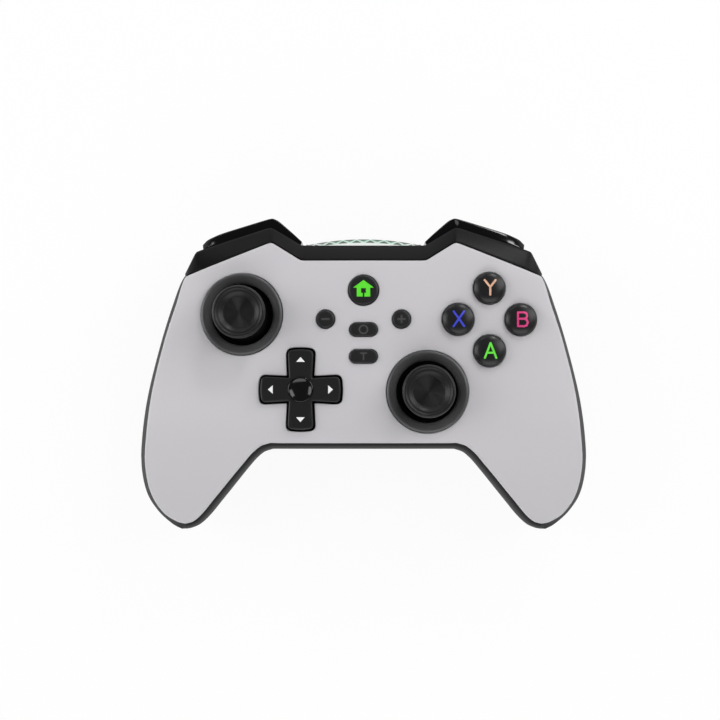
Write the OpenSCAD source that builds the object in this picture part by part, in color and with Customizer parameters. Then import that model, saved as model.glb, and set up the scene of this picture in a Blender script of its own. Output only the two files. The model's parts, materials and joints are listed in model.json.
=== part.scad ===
// Two-stick wireless gamepad lying on its back with the face up
// X to the right, Y toward the shoulder buttons, Z out of the face, millimetres

/* [Body] */
// Width over the two grips
grip_span = 153; // [150:1:157]
// Height of the face above the table at the middle of the pad
face_z = 44; // [43:0.5:45]
// Fall of the face from the middle to the sides
face_crown = 3; // [2.5:0.25:3.5]
// Fall of the face along the grips
grip_fall = 15; // [14:0.5:16]
// Wall of both housing halves
wall = 2; // [1.8:0.1:2.2]
// Depth of the front shell's edge
skirt = 5; // [4.5:0.25:5.5]
// Height of the widest outline below the parting line
belly_drop = 7; // [6.5:0.25:7.5]
// Y of the face's top edge between the shoulders
face_top = 36.6; // [36.2:0.1:37]
// Y of the widest outline's edge between the grips
notch_y = -24.7; // [-25.2:0.1:-24.2]
// Gap along the parting line
part_gap = 0.1; // [0.05:0.05:0.2]

/* [Sticks] */
// Left stick centre at the drawn span of 153
left_stick_at = [-39.9, 19.7]; // [-41:0.1:30]
// Right stick centre at the drawn span of 153
right_stick_at = [20.9, -5.7]; // [-10:0.1:24]
// Outer diameter of the stick ring
ring_d = 26.4; // [26:0.1:26.8]
// Opening of the stick ring
ring_hole_d = 20.4; // [20.2:0.1:21]
// Thumb cap diameter
cap_d = 17.1; // [16.5:0.1:17.6]
// Height of the thumb cap's rim over the stick pivot
cap_rise = 21.5; // [21:0.25:22]
// Stick tilt each way in degrees
stick_tilt = 16; // [12:1:16]
// Travel of the stick click
click_travel = 0.5; // [0.3:0.1:0.6]

/* [Direction pad] */
// Direction pad centre at the drawn span of 153
dpad_at = [-20.5, -5]; // [-22:0.1:0]
// Reach of an arm from the centre
dpad_reach = 13; // [12.6:0.1:13.2]
// Arm width at the centre
dpad_root = 7.9; // [7.6:0.1:8.2]
// Arm width at the end
dpad_end = 8.6; // [8.4:0.1:9]
// Gap around the arms
dpad_gap = 0.75; // [0.7:0.05:0.9]

/* [Buttons] */
// Centre of the four face buttons at the drawn span of 153
action_at = [41.3, 18]; // [16:0.1:42]
// Distance of a face button from that centre
action_spread = 10.3; // [10.2:0.1:10.5]
// Face button diameter
action_d = 10.8; // [10.4:0.1:11]
// Face button travel
action_travel = 1.6; // [1.2:0.1:1.8]
// Home button centre
home_at = [0, 27.5]; // [-1:0.1:28]
// Home button diameter
home_d = 10.6; // [10:0.1:11]
// Minus and plus button distance from the middle
menu_x = 12.4; // [12:0.1:13]
// Minus and plus button height on the face
menu_y = 18; // [17:0.1:19]
// Minus and plus button diameter
menu_d = 6.5; // [6.2:0.1:7]
// Upper and lower pill button Y
pill_y = [14.6, 5.8]; // [5.5:0.1:15]
// Pill button length
pill_l = 9.3; // [9:0.1:9.6]
// Pill button width
pill_w = 4.7; // [4.4:0.1:5]
// Travel of the home, menu and pill buttons
tact_travel = 0.5; // [0.3:0.1:0.6]
// Gap around every button
button_gap = 0.3; // [0.25:0.05:0.4]

/* [Shoulders] */
// Lower edge of the top band
band_z = 37.4; // [37.2:0.1:37.6]
// Bumper height
bumper_h = 11.6; // [11:0.1:12]
// Bumper wall
bumper_wall = 1.6; // [1.4:0.1:1.8]
// Trigger hinge position at the drawn span of 153
trigger_at = [39.6, 33.5, 22]; // [21:0.1:41]
// Slant of the shoulder and trigger hinge in degrees
trigger_skew = 17; // [16:0.5:18]
// Trigger width
trigger_w = 22.6; // [22:0.1:23]
// Trigger hinge pin diameter
pin_d = 2; // [1.8:0.1:2.2]
// Running clearance of the hinge pins
pin_play = 0.05; // [0.03:0.01:0.08]

/* [Inside] */
// Top of the main board
board_z = 27.5; // [27.3:0.1:27.7]
// Board thickness
board_t = 1.6; // [1.2:0.1:1.6]
// Battery length, width and thickness
battery_size = [42, 30, 7.5]; // [6:0.5:44]
// Rumble motor diameter
motor_d = 12; // [11:0.5:13]
// Rumble motor length
motor_l = 18; // [16:0.5:19]
// Rumble weight radius
weight_r = 7.5; // [7:0.1:8]
// Screw shank diameter
screw_d = 2.6; // [2.4:0.1:2.8]

/* [Hidden] */
// Positions across the pad are given for the drawn span and follow the span that is set
drawn_span = 153;
wide = grip_span / drawn_span;
function across(p) = [p[0] * wide, p[1]];
function all_across(list) = [for (p = list) across(p)];
left_stick_c = across(left_stick_at);
right_stick_c = across(right_stick_at);
pad_c = across(dpad_at);
action_c = across(action_at);
hinge_at = [trigger_at[0] * wide, trigger_at[1], trigger_at[2]];
inset = wall * 1.3;
edge_r = 0.7;
pivot_z = board_z + 5.5;
belly_power = 2.4;
fit = 0.15;
band_fit = 0.12;
sq = sqrt(0.5);

// Right-hand outlines as matching stations from the middle of the pad to the grip tip
face_outer = all_across([
  [0, face_top], [10, face_top], [20.6, face_top], [27.8, 41.7], [30.6, 42.8], [34, 42.3],
  [44, 38.7], [54, 34.7], [58.7, 32.1], [62, 22.6], [65.7, 11],
  [69.6, -5], [71.6, -19], [72.5, -30], [71.1, -39.5], [67.5, -46],
  [63.5, -49], [61.1, -49.85]
]);
face_inner = all_across([
  [0, notch_y + 2.2], [7, notch_y + 2.2], [14, notch_y + 2.2], [19, notch_y + 2.2],
  [22, notch_y + 2.2], [25, notch_y + 2.2], [28, notch_y + 2.2], [30.5, notch_y + 2.3],
  [33.6, -23.3], [37, -26], [40.3, -29.8], [44, -34.1], [47.6, -38.4], [51, -42.4],
  [54.2, -46.2], [57, -48.9], [58.9, -49.7], [60.1, -49.95]
]);
belly_outer = all_across([
  [0, 45], [10, 45], [20, 44.6], [27, 45.2], [31, 45.2], [35, 45], [46, 43.4], [56, 39.8],
  [61.2, 33.6], [65.2, 23.6], [69.6, 9.6], [73.8, -7], [75.9, -21],
  [76.5, -31], [74.9, -40.2], [71, -46.6], [66, -50.9], [62.5, -52.5]
]);
belly_inner = all_across([
  [0, notch_y], [7.5, notch_y], [15, notch_y], [19.5, notch_y], [22.5, notch_y], [25.5, notch_y],
  [28.2, notch_y], [30.4, notch_y], [33, -25.5], [35.8, -27.7], [38.8, -31], [42, -34.8],
  [45.4, -38.9], [49, -43.2], [52.6, -47.5], [56.2, -50.9], [59.2, -52.3], [61.2, -52.7]
]);
// Underside height at each station
floor_z = [13, 13, 13, 13, 13, 13, 13, 12.8, 12, 10.3, 7.8, 4.6, 1.8, 0, 0.8, 3.8, 8.4, 13];
// Extra skirt under the top band at each station
skirt_more = [2, 2, 2, 2, 2, 2, 2, 1.6, 0.8, 0, 0, 0, 0, 0, 0, 0, 0, 0];
last = len(face_outer) - 1;
smooth_from = 8;
half_u = concat([for (k = [0:smooth_from]) k], [for (k = [smooth_from + 0.5:0.5:last]) k]);
stations = concat([for (k = [len(half_u) - 1:-1:1]) -half_u[k]], half_u);

// Point on a smooth curve through a list of stations
function curve(p, u) =
  let (i = min(floor(u), len(p) - 2))
  let (f = u - i)
  let (a = p[max(i - 1, 0)])
  let (d = p[min(i + 2, len(p) - 1)])
  f == 0 ? p[i] : (2 * p[i] + (p[i + 1] - a) * f + (2 * a - 5 * p[i] + 4 * p[i + 1] - d) * f * f
    + (3 * p[i] - a - 3 * p[i + 1] + d) * f * f * f) / 2;
function both(p, u) = let (q = curve(p, abs(u))) [u < 0 ? -q[0] : q[0], q[1]];
function mix(a, b, t) = a + (b - a) * t;
function up(p, z) = [p[0], p[1], z];

// Height of the face at a point
function face_h(p) =
  face_z - face_crown * pow(p[0] / 62, 2) - grip_fall * pow(max(0, -14 - p[1]) / 40, 1.6)
  - 1.5 * pow(max(0, p[1] - 20) / 24, 2);
function rim_z(p, u) = face_h(p) - skirt - curve(skirt_more, abs(u));
function rim_in_z(p) = face_h(p) - skirt;
// Inner stations stop short of the grip tip so that it is closed
function inside_u(u) = abs(u) < last - 3 ? u : sign(u) * (last - 3 + (abs(u) - last + 3) * 0.5);
// Point at a distance in from the end of a chord
function inward(a, b, d) = mix(a, b, min(d / norm(b - a), 0.35));

// Section of the front shell at a station, from the outer skirt over the face to the inner skirt
cross_t = [0.08, 0.18, 0.3, 0.42, 0.55, 0.68, 0.8, 0.91];
function front_outer(u) =
  let (a = both(face_outer, u), b = both(face_inner, u))
  let (a1 = inward(a, b, edge_r * (1 - sq)), a2 = inward(a, b, edge_r))
  let (b1 = inward(b, a, edge_r * (1 - sq)), b2 = inward(b, a, edge_r))
  concat(
    [up(a, rim_z(a, u)), up(a, face_h(a) - edge_r), up(a1, face_h(a1) - edge_r * (1 - sq)), up(a2, face_h(a2))],
    [for (t = cross_t) let (p = mix(a2, b2, t)) up(p, face_h(p))],
    [up(b2, face_h(b2)), up(b1, face_h(b1) - edge_r * (1 - sq)), up(b, face_h(b) - edge_r), up(b, rim_in_z(b))]
  );
function front_inner(v) =
  let (u = inside_u(v))
  let (a = both(face_outer, u), b = both(face_inner, u))
  let (a2 = inward(a, b, inset), b2 = inward(b, a, inset))
  let (a3 = inward(a2, b2, 0.4), b3 = inward(b2, a2, 0.4), a4 = inward(a2, b2, 1), b4 = inward(b2, a2, 1))
  let (ra = both(face_outer, v), rb = both(face_inner, v))
  concat(
    [up(a2, rim_z(ra, v)), up(a2, face_h(a2) - wall - 1)],
    [up(a3, face_h(a3) - wall - 0.4), up(a4, face_h(a4) - wall)],
    [for (t = cross_t) let (p = mix(a4, b4, t)) up(p, face_h(p) - wall)],
    [up(b4, face_h(b4) - wall), up(b3, face_h(b3) - wall - 0.4)],
    [up(b2, face_h(b2) - wall - 1), up(b2, rim_in_z(rb))]
  );

// Section of the rear shell at a station, set in by a distance
belly_a = [0, 16, 32, 48, 64, 78, 90, 102, 116, 132, 148, 164, 180];
function rear_section(v, d) =
  let (u = d > wall * 0.9 ? inside_u(v) : v)
  let (k = d * inset / wall)
  let (a0 = both(face_outer, u), b0 = both(face_inner, u))
  let (c0 = both(belly_outer, u), e0 = both(belly_inner, u))
  let (a = inward(a0, b0, k), b = inward(b0, a0, k), c = inward(c0, e0, k), e = inward(e0, c0, k))
  let (za = rim_z(both(face_outer, v), v) - part_gap, zb = rim_in_z(both(face_inner, v)) - part_gap)
  let (zc = rim_z(a0, u) - belly_drop, ze = rim_in_z(b0) - belly_drop, zf = curve(floor_z, abs(u)) + d)
  concat(
    [up(a, za), up(mix(a, c, 0.55), mix(za, zc, 0.25)), up(mix(a, c, 0.88), mix(za, zc, 0.6))],
    [
      for (g = belly_a)
        let (s = cos(g), q = sign(s) * pow(abs(s), 2 / belly_power), w = pow(abs(sin(g)), 2 / belly_power))
        let (t = (1 - q) / 2)
        up(mix(c, e, t), mix(mix(zc, ze, t), zf, w))
    ],
    [up(mix(b, e, 0.88), mix(zb, ze, 0.6)), up(mix(b, e, 0.55), mix(zb, ze, 0.25)), up(b, zb)]
  );

// Closed shell between two stacks of open sections that share their rim; turn swaps the rim's diagonals
module shell_skin(outer, inner, turn = false) {
  n = len(outer);
  m = len(outer[0]);
  points = concat([for (s = outer) each s], [for (s = inner) each s]);
  h = n * m;
  faces = concat(
    [for (i = [0:n - 2], j = [0:m - 2]) each [
      [i * m + j, i * m + j + 1, (i + 1) * m + j + 1],
      [i * m + j, (i + 1) * m + j + 1, (i + 1) * m + j]
    ]],
    [for (i = [0:n - 2], j = [0:m - 2]) each [
      [h + i * m + j, h + (i + 1) * m + j + 1, h + i * m + j + 1],
      [h + i * m + j, h + (i + 1) * m + j, h + (i + 1) * m + j + 1]
    ]],
    [
      for (i = [0:n - 2])
        let (a = i * m, b = a + m, e = a + m - 1, f = e + m)
        each turn ? [[a, b, h + a], [b, h + b, h + a], [e, h + e, f], [f, h + e, h + f]]
          : [[a, b, h + b], [a, h + b, h + a], [e, h + f, f], [e, h + e, h + f]]
    ],
    [for (j = [1:m - 2]) each [
      [0, j + 1, j],
      [(n - 1) * m, (n - 1) * m + j, (n - 1) * m + j + 1],
      [h, h + j, h + j + 1],
      [h + (n - 1) * m, h + (n - 1) * m + j + 1, h + (n - 1) * m + j]
    ]],
    [
      [0, h, h + m - 1],
      [0, h + m - 1, m - 1],
      [(n - 1) * m, h + n * m - 1, h + (n - 1) * m],
      [(n - 1) * m, n * m - 1, h + n * m - 1]
    ]
  );
  polyhedron(points, faces);
}

// Solid through a stack of closed rings, whose ends are closed by a zigzag that also suits bent strips
module skin(rings) {
  n = len(rings);
  m = len(rings[0]);
  end = [
    for (t = [0:m - 3])
      let (low = floor((t + 1) / 2), high = m - 1 - floor(t / 2))
      [low, high, t % 2 == 0 ? low + 1 : high - 1]
  ];
  far = (n - 1) * m;
  polyhedron([for (r = rings) each r], concat(
    [for (i = [0:n - 2], j = [0:m - 1]) each [
      [i * m + j, i * m + (j + 1) % m, (i + 1) * m + (j + 1) % m],
      [i * m + j, (i + 1) * m + (j + 1) % m, (i + 1) * m + j]
    ]],
    end,
    [for (t = end) [far + t[0], far + t[2], far + t[1]]]
  ));
}

module on_face(p) translate([p[0], p[1], face_h(p)]) children();
module mirrored() mirror([1, 0, 0]) children();
module at_trigger() translate(hinge_at) rotate([0, 0, -trigger_skew]) children();

// Arms of the direction pad as a flat outline grown by a gap
module cross_outline(gap) {
  a = dpad_root / 2 + gap;
  b = dpad_end / 2 + gap;
  r = dpad_reach + gap;
  c = 1.3 + gap / 2;
  arm = [[a, a], [b, r - c], [b - c * (1 - sq), r - c * (1 - sq)], [b - c, r + 0.1], [0, r + 0.4]];
  flip = [for (k = [len(arm) - 2:-1:0]) [-arm[k][0], arm[k][1]]];
  one = concat(arm, [for (k = [0:len(flip) - 2]) flip[k]]);
  function quarter(p, q) = q == 0 ? p : q == 1 ? [-p[1], p[0]] : q == 2 ? -p : [p[1], -p[0]];
  polygon([for (q = [0:3]) each [for (p = one) quarter(p, q)]]);
}

module pill_outline(l, w) {
  square([l - w, w], center = true);
  translate([(l - w) / 2, 0]) circle(d = w, $fn = 32);
  translate([(w - l) / 2, 0]) circle(d = w, $fn = 32);
}

action_y = action_c + [0, action_spread];
action_a = action_c - [0, action_spread];
action_x = action_c - [action_spread, 0];
action_b = action_c + [action_spread, 0];
guide_l = 5.5;
guide_t = 1.2;
// Screw positions and head seat heights
screw_side = 60.2 * wide;
screw_tip = 63.5 * wide;
screws = [
  [screw_side, 11, 19], [-screw_side, 11, 19], [screw_tip, -43, 8], [-screw_tip, -43, 8], [0, -16.6, 24]
];
screw_l = 12;
head_d = 5.2;
head_h = 1.8;
boss_r = 3.2;
joint_up = 3;
frame_post = across([21, 30]);
frame_top = 36;

// Section through the middle of the front shell's wall, carried down to the table
function front_core(u) =
  let (o = front_outer(u), i = front_inner(u), n = len(o) - 1)
  concat([up((o[0] + i[0]) / 2, 0)], [for (k = [1:n - 1]) (o[k] + i[k]) / 2], [up((o[n] + i[n]) / 2, 0)]);
// Screw bosses and frame seats under the face before they are trimmed to its wall
module front_inside() {
  for (s = screws)
    translate([s[0], s[1], s[2] + joint_up]) cylinder(r = boss_r, h = 40, $fn = 32);
  for (i = [-1, 1])
    translate([i * frame_post[0], frame_post[1], frame_top]) cylinder(r = 2.6, h = 20, $fn = 32);
}

// Grey faceplate with its skirt, control holes, button guides and screw bosses
module front_shell() color([0.76, 0.75, 0.77]) {
  difference() {
    union() {
      shell_skin([for (u = stations) front_outer(-u)], [for (u = stations) front_inner(-u)], true);
      for (p = [action_y, action_a, action_x, action_b])
        on_face(p) translate([0, 0, -guide_l])
          cylinder(d = action_d + 2 * (button_gap + guide_t), h = guide_l - wall / 2, $fn = 48);
      on_face(home_at) translate([0, 0, -guide_l])
        cylinder(d = home_d + 2 * (button_gap + guide_t), h = guide_l - wall / 2, $fn = 48);
      intersection() {
        front_inside();
        skin([for (u = stations) front_core(-u)]);
      }
    }
    for (p = [left_stick_c, right_stick_c])
      translate([p[0], p[1], pivot_z]) cylinder(d = ring_d + 2 * fit, h = 20, $fn = 64);
    for (p = [action_y, action_a, action_x, action_b])
      on_face(p) translate([0, 0, -guide_l - 1]) cylinder(d = action_d + 2 * button_gap, h = 12, $fn = 48);
    on_face(home_at) translate([0, 0, -guide_l - 1]) cylinder(d = home_d + 2 * button_gap, h = 12, $fn = 48);
    for (i = [-1, 1])
      on_face([i * menu_x, menu_y]) translate([0, 0, -wall - 2])
        cylinder(d = menu_d + 2 * button_gap, h = 9, $fn = 48);
    for (y = pill_y)
      on_face([0, y]) translate([0, 0, -wall - 2]) linear_extrude(9)
        pill_outline(pill_l + 2 * button_gap, pill_w + 2 * button_gap);
    on_face(pad_c) translate([0, 0, -wall - 2]) linear_extrude(9) cross_outline(dpad_gap);
    for (s = screws)
      translate([s[0], s[1], s[2]]) cylinder(d = screw_d + 0.1, h = screw_l + 1, $fn = 24);
  }
}

motor_at = [58 * wide, -12, 18];
battery_z = floor_z[0] + wall + 1.8;
// Solid parts inside the rear shell before they are trimmed to its wall
module rear_inside() {
  for (s = screws)
    translate([s[0], s[1], s[2] - 14]) cylinder(r = boss_r + 1, h = 14 + joint_up - part_gap, $fn = 32);
  for (i = [-1, 1])
    translate([i * motor_at[0], motor_at[1] - motor_l / 2, motor_at[2] - 9])
      cube([motor_d - 2, motor_l - 6, 18], center = true);
  for (i = [-1, 1], y = [-9, 20])
    translate([i * 30 * wide, y, 5]) cylinder(r = 2, h = board_z - board_t - 5, $fn = 24);
  for (y = [-3, 18])
    translate([-battery_size[0] / 2, y, 10]) cube([battery_size[0], 2, battery_z - 10]);
}

hub_r = 3;
lug_t = 1.9;
lug_x = trigger_w / 2 + 0.3;
bay_x = trigger_w / 2 + 0.7;
// Upper and outer edges of the right bumper from its pivot end to its outer end
bumper_inner = all_across([
  [21, 43.2], [24.4, 45.6], [27.9, 48], [30.6, 48.9], [33.6, 48.1], [44, 45.1], [50.5, 43.2], [53, 42.4]
]);
bumper_outer = all_across([
  [20.4, 44.6], [23.2, 47.2], [27.2, 50.9], [30.6, 52.7], [34.4, 52.2], [45.2, 49], [51.6, 46.6], [54.2, 44.4]
]);
bumper_end = len(bumper_outer) - 1;
// Distance of a point along the trigger hinge
function along_hinge(p) =
  (p[0] - hinge_at[0]) * cos(trigger_skew) - (p[1] - hinge_at[1]) * sin(trigger_skew);
bumper_x = along_hinge(bumper_outer[bumper_end]);
bumper_x0 = along_hinge(bumper_outer[0]);
usb_w = 8.94;
usb_h = 3.2;
usb_y = 44.7;
lens_z = 28;
// Black back half with the grips, open at the shoulders and the light window
module rear_shell() color([0.07, 0.07, 0.08]) {
  difference() {
    union() {
      shell_skin([for (u = stations) rear_section(u, 0)], [for (u = stations) rear_section(u, wall)]);
      intersection() {
        rear_inside();
        skin([for (u = stations) rear_section(u, wall / 2)]);
      }
    }
    for (i = [0, 1]) mirror([i, 0, 0]) at_trigger() {
      translate([bumper_x0 - 0.9, 1.5, 2.8]) cube([bumper_x - bumper_x0 + 1.4, 40, 25]);
      translate([-bay_x, 4.2, -40]) cube([2 * bay_x, 40, 43]);
      translate([-lug_x - lug_t - 0.4, -8, -2.8]) cube([2 * (lug_x + lug_t + 0.4), 12.7, 20]);
      rotate([0, 90, 0]) cylinder(r = hub_r + 0.4, h = 2 * bay_x, center = true, $fn = 48);
    }
    translate([-28 * wide, 33, lens_z - 0.3]) cube([56 * wide, 30, 20]);
    translate([0, usb_y, board_z - board_t - usb_h / 2]) cube([usb_w + 0.5, 14, usb_h + 0.5], center = true);
    for (s = screws) {
      translate([s[0], s[1], s[2] - 24]) cylinder(d = head_d + 0.5, h = 24, $fn = 32);
      translate([s[0], s[1], s[2] - 1]) cylinder(d = screw_d + 0.4, h = 10, $fn = 24);
    }
    for (i = [-1, 1])
      translate([i * motor_at[0], motor_at[1] + 4, motor_at[2]]) rotate([90, 0, 0])
        cylinder(d = motor_d + 0.2, h = motor_l + 8, $fn = 48);
    translate([0, 8, floor_z[0] - 4.7]) cube([60, 34, 10], center = true);
  }
}

// Black chamfered trim along the top edge of the face
band_out = all_across([
  [0, face_top + 5.8], [10, face_top + 5.8], [20.8, face_top + 5.8], [27.9, 48], [30.6, 48.9], [33.6, 48.1],
  [44.8, 44.9], [55.7, 40.9], [59.3, 33.4]
]);
module top_band() color([0.09, 0.09, 0.1]) {
  skin([
    for (k = [-smooth_from:smooth_from])
      let (f = both(face_outer, k), b = both(band_out, k))
      let (a = f + (b - f) * band_fit / norm(b - f), h = face_h(a) - edge_r)
      [
        up(a, h), up(mix(a, b, 0.12), h + 0.1), up(mix(a, b, 0.9), band_z + 1),
        up(b, band_z + 0.4), up(b, band_z), up(a, band_z)
      ]
  ]);
}

// Pale strip over the status lights in the middle of the top edge
module light_window() color([0.72, 0.9, 0.82]) {
  r = 91.6;
  top = band_z - 0.3;
  spread = asin(20 * wide / r);
  translate([0, 46.3 - r, 0]) rotate([0, 0, 90 - spread]) rotate_extrude(angle = 2 * spread, $fn = 96)
    polygon([
      [r - 0.3, lens_z], [r, lens_z + 0.6], [r - 0.5, lens_z + 3], [r - 1.7, lens_z + 6], [r - 4, top],
      [r - 6, top], [r - 3.6, lens_z + 5.4], [r - 2.4, lens_z + 2.4], [r - 2.2, lens_z]
    ]);
}

// Small board with the status lights behind the window
module light_board() color([0.12, 0.3, 0.2]) {
  translate([-16, 36.6, board_z]) cube([32, 1.2, 6]);
  for (k = [-1.5:1:1.5])
    translate([k * 8 - 1, 37.8, board_z + 2]) cube([2, 0.8, 1.6]);
}

bumper_pivot = across([23.5, 42]);
bumper_top = band_z - 0.4;
pivot_pin_r = 1.2;
switch_x = 30.5 * wide;
switch_y = 41;
// Inner bracket that carries both triggers and both bumpers
module shoulder_frame() color([0.2, 0.2, 0.22]) {
  difference() {
    union() {
      for (i = [0, 1]) mirror([i, 0, 0]) {
        at_trigger() {
          translate([-lug_x - lug_t, -7.6, -2.6]) cube([2 * (lug_x + lug_t), 3.2, 5.2]);
          for (j = [-1, 1])
            translate([j * (lug_x + lug_t / 2), -2.6, 0]) cube([lug_t, 10, 5.2], center = true);
        }
        translate([21.5 * wide, 27.4, 20]) cube([6, 7.6, 13]);
        translate([21.5 * wide - 3.2, 27.4, 29.5]) cube([5, 7.6, 3.5]);
        translate([bumper_pivot[0] - 1.2, 33, 29.5]) cube([3.1, 10.5, 3.5]);
        translate([switch_x - 5.5, 33.5, 29.5]) cube([9, 7.5, 2.5]);
        translate([bumper_pivot[0], bumper_pivot[1], 31]) cylinder(r = pivot_pin_r, h = 4.2, $fn = 32);
        translate([frame_post[0], frame_post[1], 30]) cylinder(r = 2.6, h = frame_top - 30, $fn = 32);
      }
      translate([-19 * wide, 31.2, 30.2]) cube([38 * wide, 3.2, 2.8]);
    }
    for (i = [0, 1]) mirror([i, 0, 0]) at_trigger() rotate([0, 90, 0])
      cylinder(d = pin_d + 2 * pin_play, h = 60, center = true, $fn = 32);
  }
}

// Glossy shoulder button that wraps over the peak of the shoulder
module bumper() {
  low = bumper_top - bumper_h;
  difference() {
    union() {
      skin([
        for (k = [0:bumper_end])
          let (a = bumper_inner[k], b = bumper_outer[k], closed = k == bumper_end)
          let (n = closed ? [sin(trigger_skew), cos(trigger_skew)] : (b - a) / norm(b - a))
          let (c = a - n * (closed ? 4.5 : 1.4), d = b - n * (closed ? 5.5 : bumper_wall))
          [
            up(c, bumper_top), up(a, bumper_top), up(mix(a, b, 0.5), bumper_top - 1),
            up(mix(a, b, 0.85), bumper_top - 2.8), up(b, bumper_top - 6), up(mix(a, b, 0.96), low),
            up(d, low), up(d, bumper_top - 6), up(mix(d, c, 0.45), bumper_top - 2.6),
            up(c, bumper_top - bumper_wall)
          ]
      ]);
      translate([bumper_pivot[0], bumper_pivot[1], 33.3]) linear_extrude(1.7) polygon([
        [-1.8, -1], [-1, -2.2], [1, -2.4], [2.4, -1], [3.2, 5.2], [1, 5], [-0.6, 3.2], [-1.8, 0.4]
      ]);
      translate([switch_x - 0.9, switch_y + 1.75, 32.3]) cube([2, 50.3 - switch_y - 1.75, 2]);
    }
    translate([bumper_pivot[0], bumper_pivot[1], 30]) cylinder(r = pivot_pin_r + pin_play, h = 5.5, $fn = 32);
  }
}
module right_bumper() color([0.03, 0.03, 0.04]) bumper();
module left_bumper() color([0.03, 0.03, 0.04]) mirrored() bumper();

// Analogue trigger in its own frame with the hinge along X
module trigger() {
  side = [
    [-1, hub_r - 0.3], [5, hub_r - 0.2], [12, hub_r - 0.2], [14.4, 2.2], [15.2, 0.8], [15.4, -2.5],
    [15.3, -5.5], [15.5, -9], [16.2, -12], [17.1, -14.4], [17, -15.5], [16.1, -16], [15.1, -15.3],
    [13.5, -12], [12.6, -8.4], [12, -5.6], [10.8, -3.8], [8.6, -3], [5.2, -1.3], [0, -1.3]
  ];
  w = trigger_w / 2;
  front = [
    [-w, 4], [w, 4], [w, -5], [w - 0.7, -9], [w - 2, -12.6], [w - 4, -15.2], [w - 6.6, -16.8],
    [6.6 - w, -16.8], [4 - w, -15.2], [2 - w, -12.6], [0.7 - w, -9], [-w, -5]
  ];
  difference() {
    union() {
      intersection() {
        rotate([90, 0, 90]) linear_extrude(trigger_w + 2, center = true) polygon(side);
        translate([0, 30, 0]) rotate([90, 0, 0]) linear_extrude(60) polygon(front);
      }
      rotate([0, 90, 0]) cylinder(r = hub_r, h = trigger_w - 0.4, center = true, $fn = 48);
    }
    rotate([0, 90, 0]) cylinder(d = pin_d + 2 * pin_play, h = 60, center = true, $fn = 32);
    translate([w - 6.5, -5, -hub_r - 1.2]) cube([8, 8.8, 2 * hub_r + 2.4]);
  }
}
module right_trigger() color([0.05, 0.05, 0.06]) at_trigger() trigger();
module left_trigger() color([0.05, 0.05, 0.06]) mirrored() at_trigger() trigger();

module trigger_pin() at_trigger() rotate([0, 90, 0])
  cylinder(d = pin_d, h = 2 * (lug_x + lug_t), center = true, $fn = 32);
module right_trigger_pin() color([0.7, 0.7, 0.72]) trigger_pin();
module left_trigger_pin() color([0.7, 0.7, 0.72]) mirrored() trigger_pin();

// Return spring coiled round the hinge pin with one leg to the frame
module trigger_spring() {
  wire = 0.35;
  coil_r = pin_d / 2 + 1.1;
  turns = 4;
  x0 = trigger_w / 2 - 5.8;
  at_trigger() skin([
    for (k = [0:10 * turns])
      let (g = k * 36)
      [
        for (c = [0:60:300])
          let (r = coil_r + wire * cos(c))
          [x0 + k * 0.125 + wire * sin(c), r * cos(g), r * sin(g)]
      ]
  ]);
}
module right_trigger_spring() color([0.75, 0.75, 0.78]) trigger_spring();
module left_trigger_spring() color([0.75, 0.75, 0.78]) mirrored() trigger_spring();

ring_lip = 0.6;
// Fall of the face from a stick's centre to the rim of its ring's flange
function ring_drop(p) =
  face_h(p) - min([for (a = [0:30:330]) face_h(p + (ring_d / 2 + ring_lip) * [cos(a), sin(a)])]);
// Dark conical bezel round a stick, with a flange under the face
module stick_ring(p) translate([p[0], p[1], face_h(p)]) rotate_extrude($fn = 96) {
  r = ring_d / 2;
  lip = -wall - 0.4 - ring_drop(p);
  polygon([
    [ring_hole_d / 2, lip - 0.9], [r + ring_lip, lip - 0.9], [r + ring_lip, lip], [r, lip], [r, 0.8],
    [r - 0.3, 1.2], [r - 0.9, 1.3], [ring_hole_d / 2 + 0.3, -0.9], [ring_hole_d / 2, -1.3]
  ]);
}
module left_stick_ring() color([0.16, 0.16, 0.17]) stick_ring(left_stick_c);
module right_stick_ring() color([0.16, 0.16, 0.17]) stick_ring(right_stick_c);

lever_r = 1.9;
dome_r = 10.2;
dome_low = 38 - stick_tilt;
// Thumb cap with a raised rim, a dished centre and a dome that closes the ring
module stick_cap(p) translate([p[0], p[1], pivot_z]) rotate_extrude($fn = 96) {
  r = cap_d / 2;
  h = cap_rise;
  polygon([
    [0, h - 1.9], [4.7, h - 1.9], [5, h - 1.6], [6.3, h - 1], [7, h - 0.3], [7.5, h], [r - 0.5, h - 0.1],
    [r - 0.1, h - 0.6], [r, h - 1.4], [r - 0.1, h - 3], [r - 1, h - 4.1], [4.6, h - 5.4], [3.6, h - 8],
    [3.4, dome_r + 0.2], [3.4, 9.7],
    for (t = [0:0.125:1]) let (a = mix(70, dome_low, t)) [dome_r * cos(a), dome_r * sin(a)],
    for (t = [0:0.125:1]) let (a = mix(dome_low, 66, t)) [(dome_r - 1) * cos(a), (dome_r - 1) * sin(a)],
    [3, 8.4], [lever_r + 0.05, 8.4], [lever_r + 0.05, h - 6], [0, h - 6]
  ]);
}
module left_stick_cap() color([0.1, 0.1, 0.11]) stick_cap(left_stick_c);
module right_stick_cap() color([0.1, 0.1, 0.11]) stick_cap(right_stick_c);

cross_pin_r = 0.8;
trunnion_r = 1;
yoke_r = 3.8;
yoke_hole_r = 2.7;
yoke_h = 3.2;
carrier_out = 10.7;
carrier_in = 8.4;
base_out = 13.2;
base_in = 11;
base_t = 1;
carrier_low = board_z + base_t + click_travel + 0.3 - pivot_z;
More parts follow.
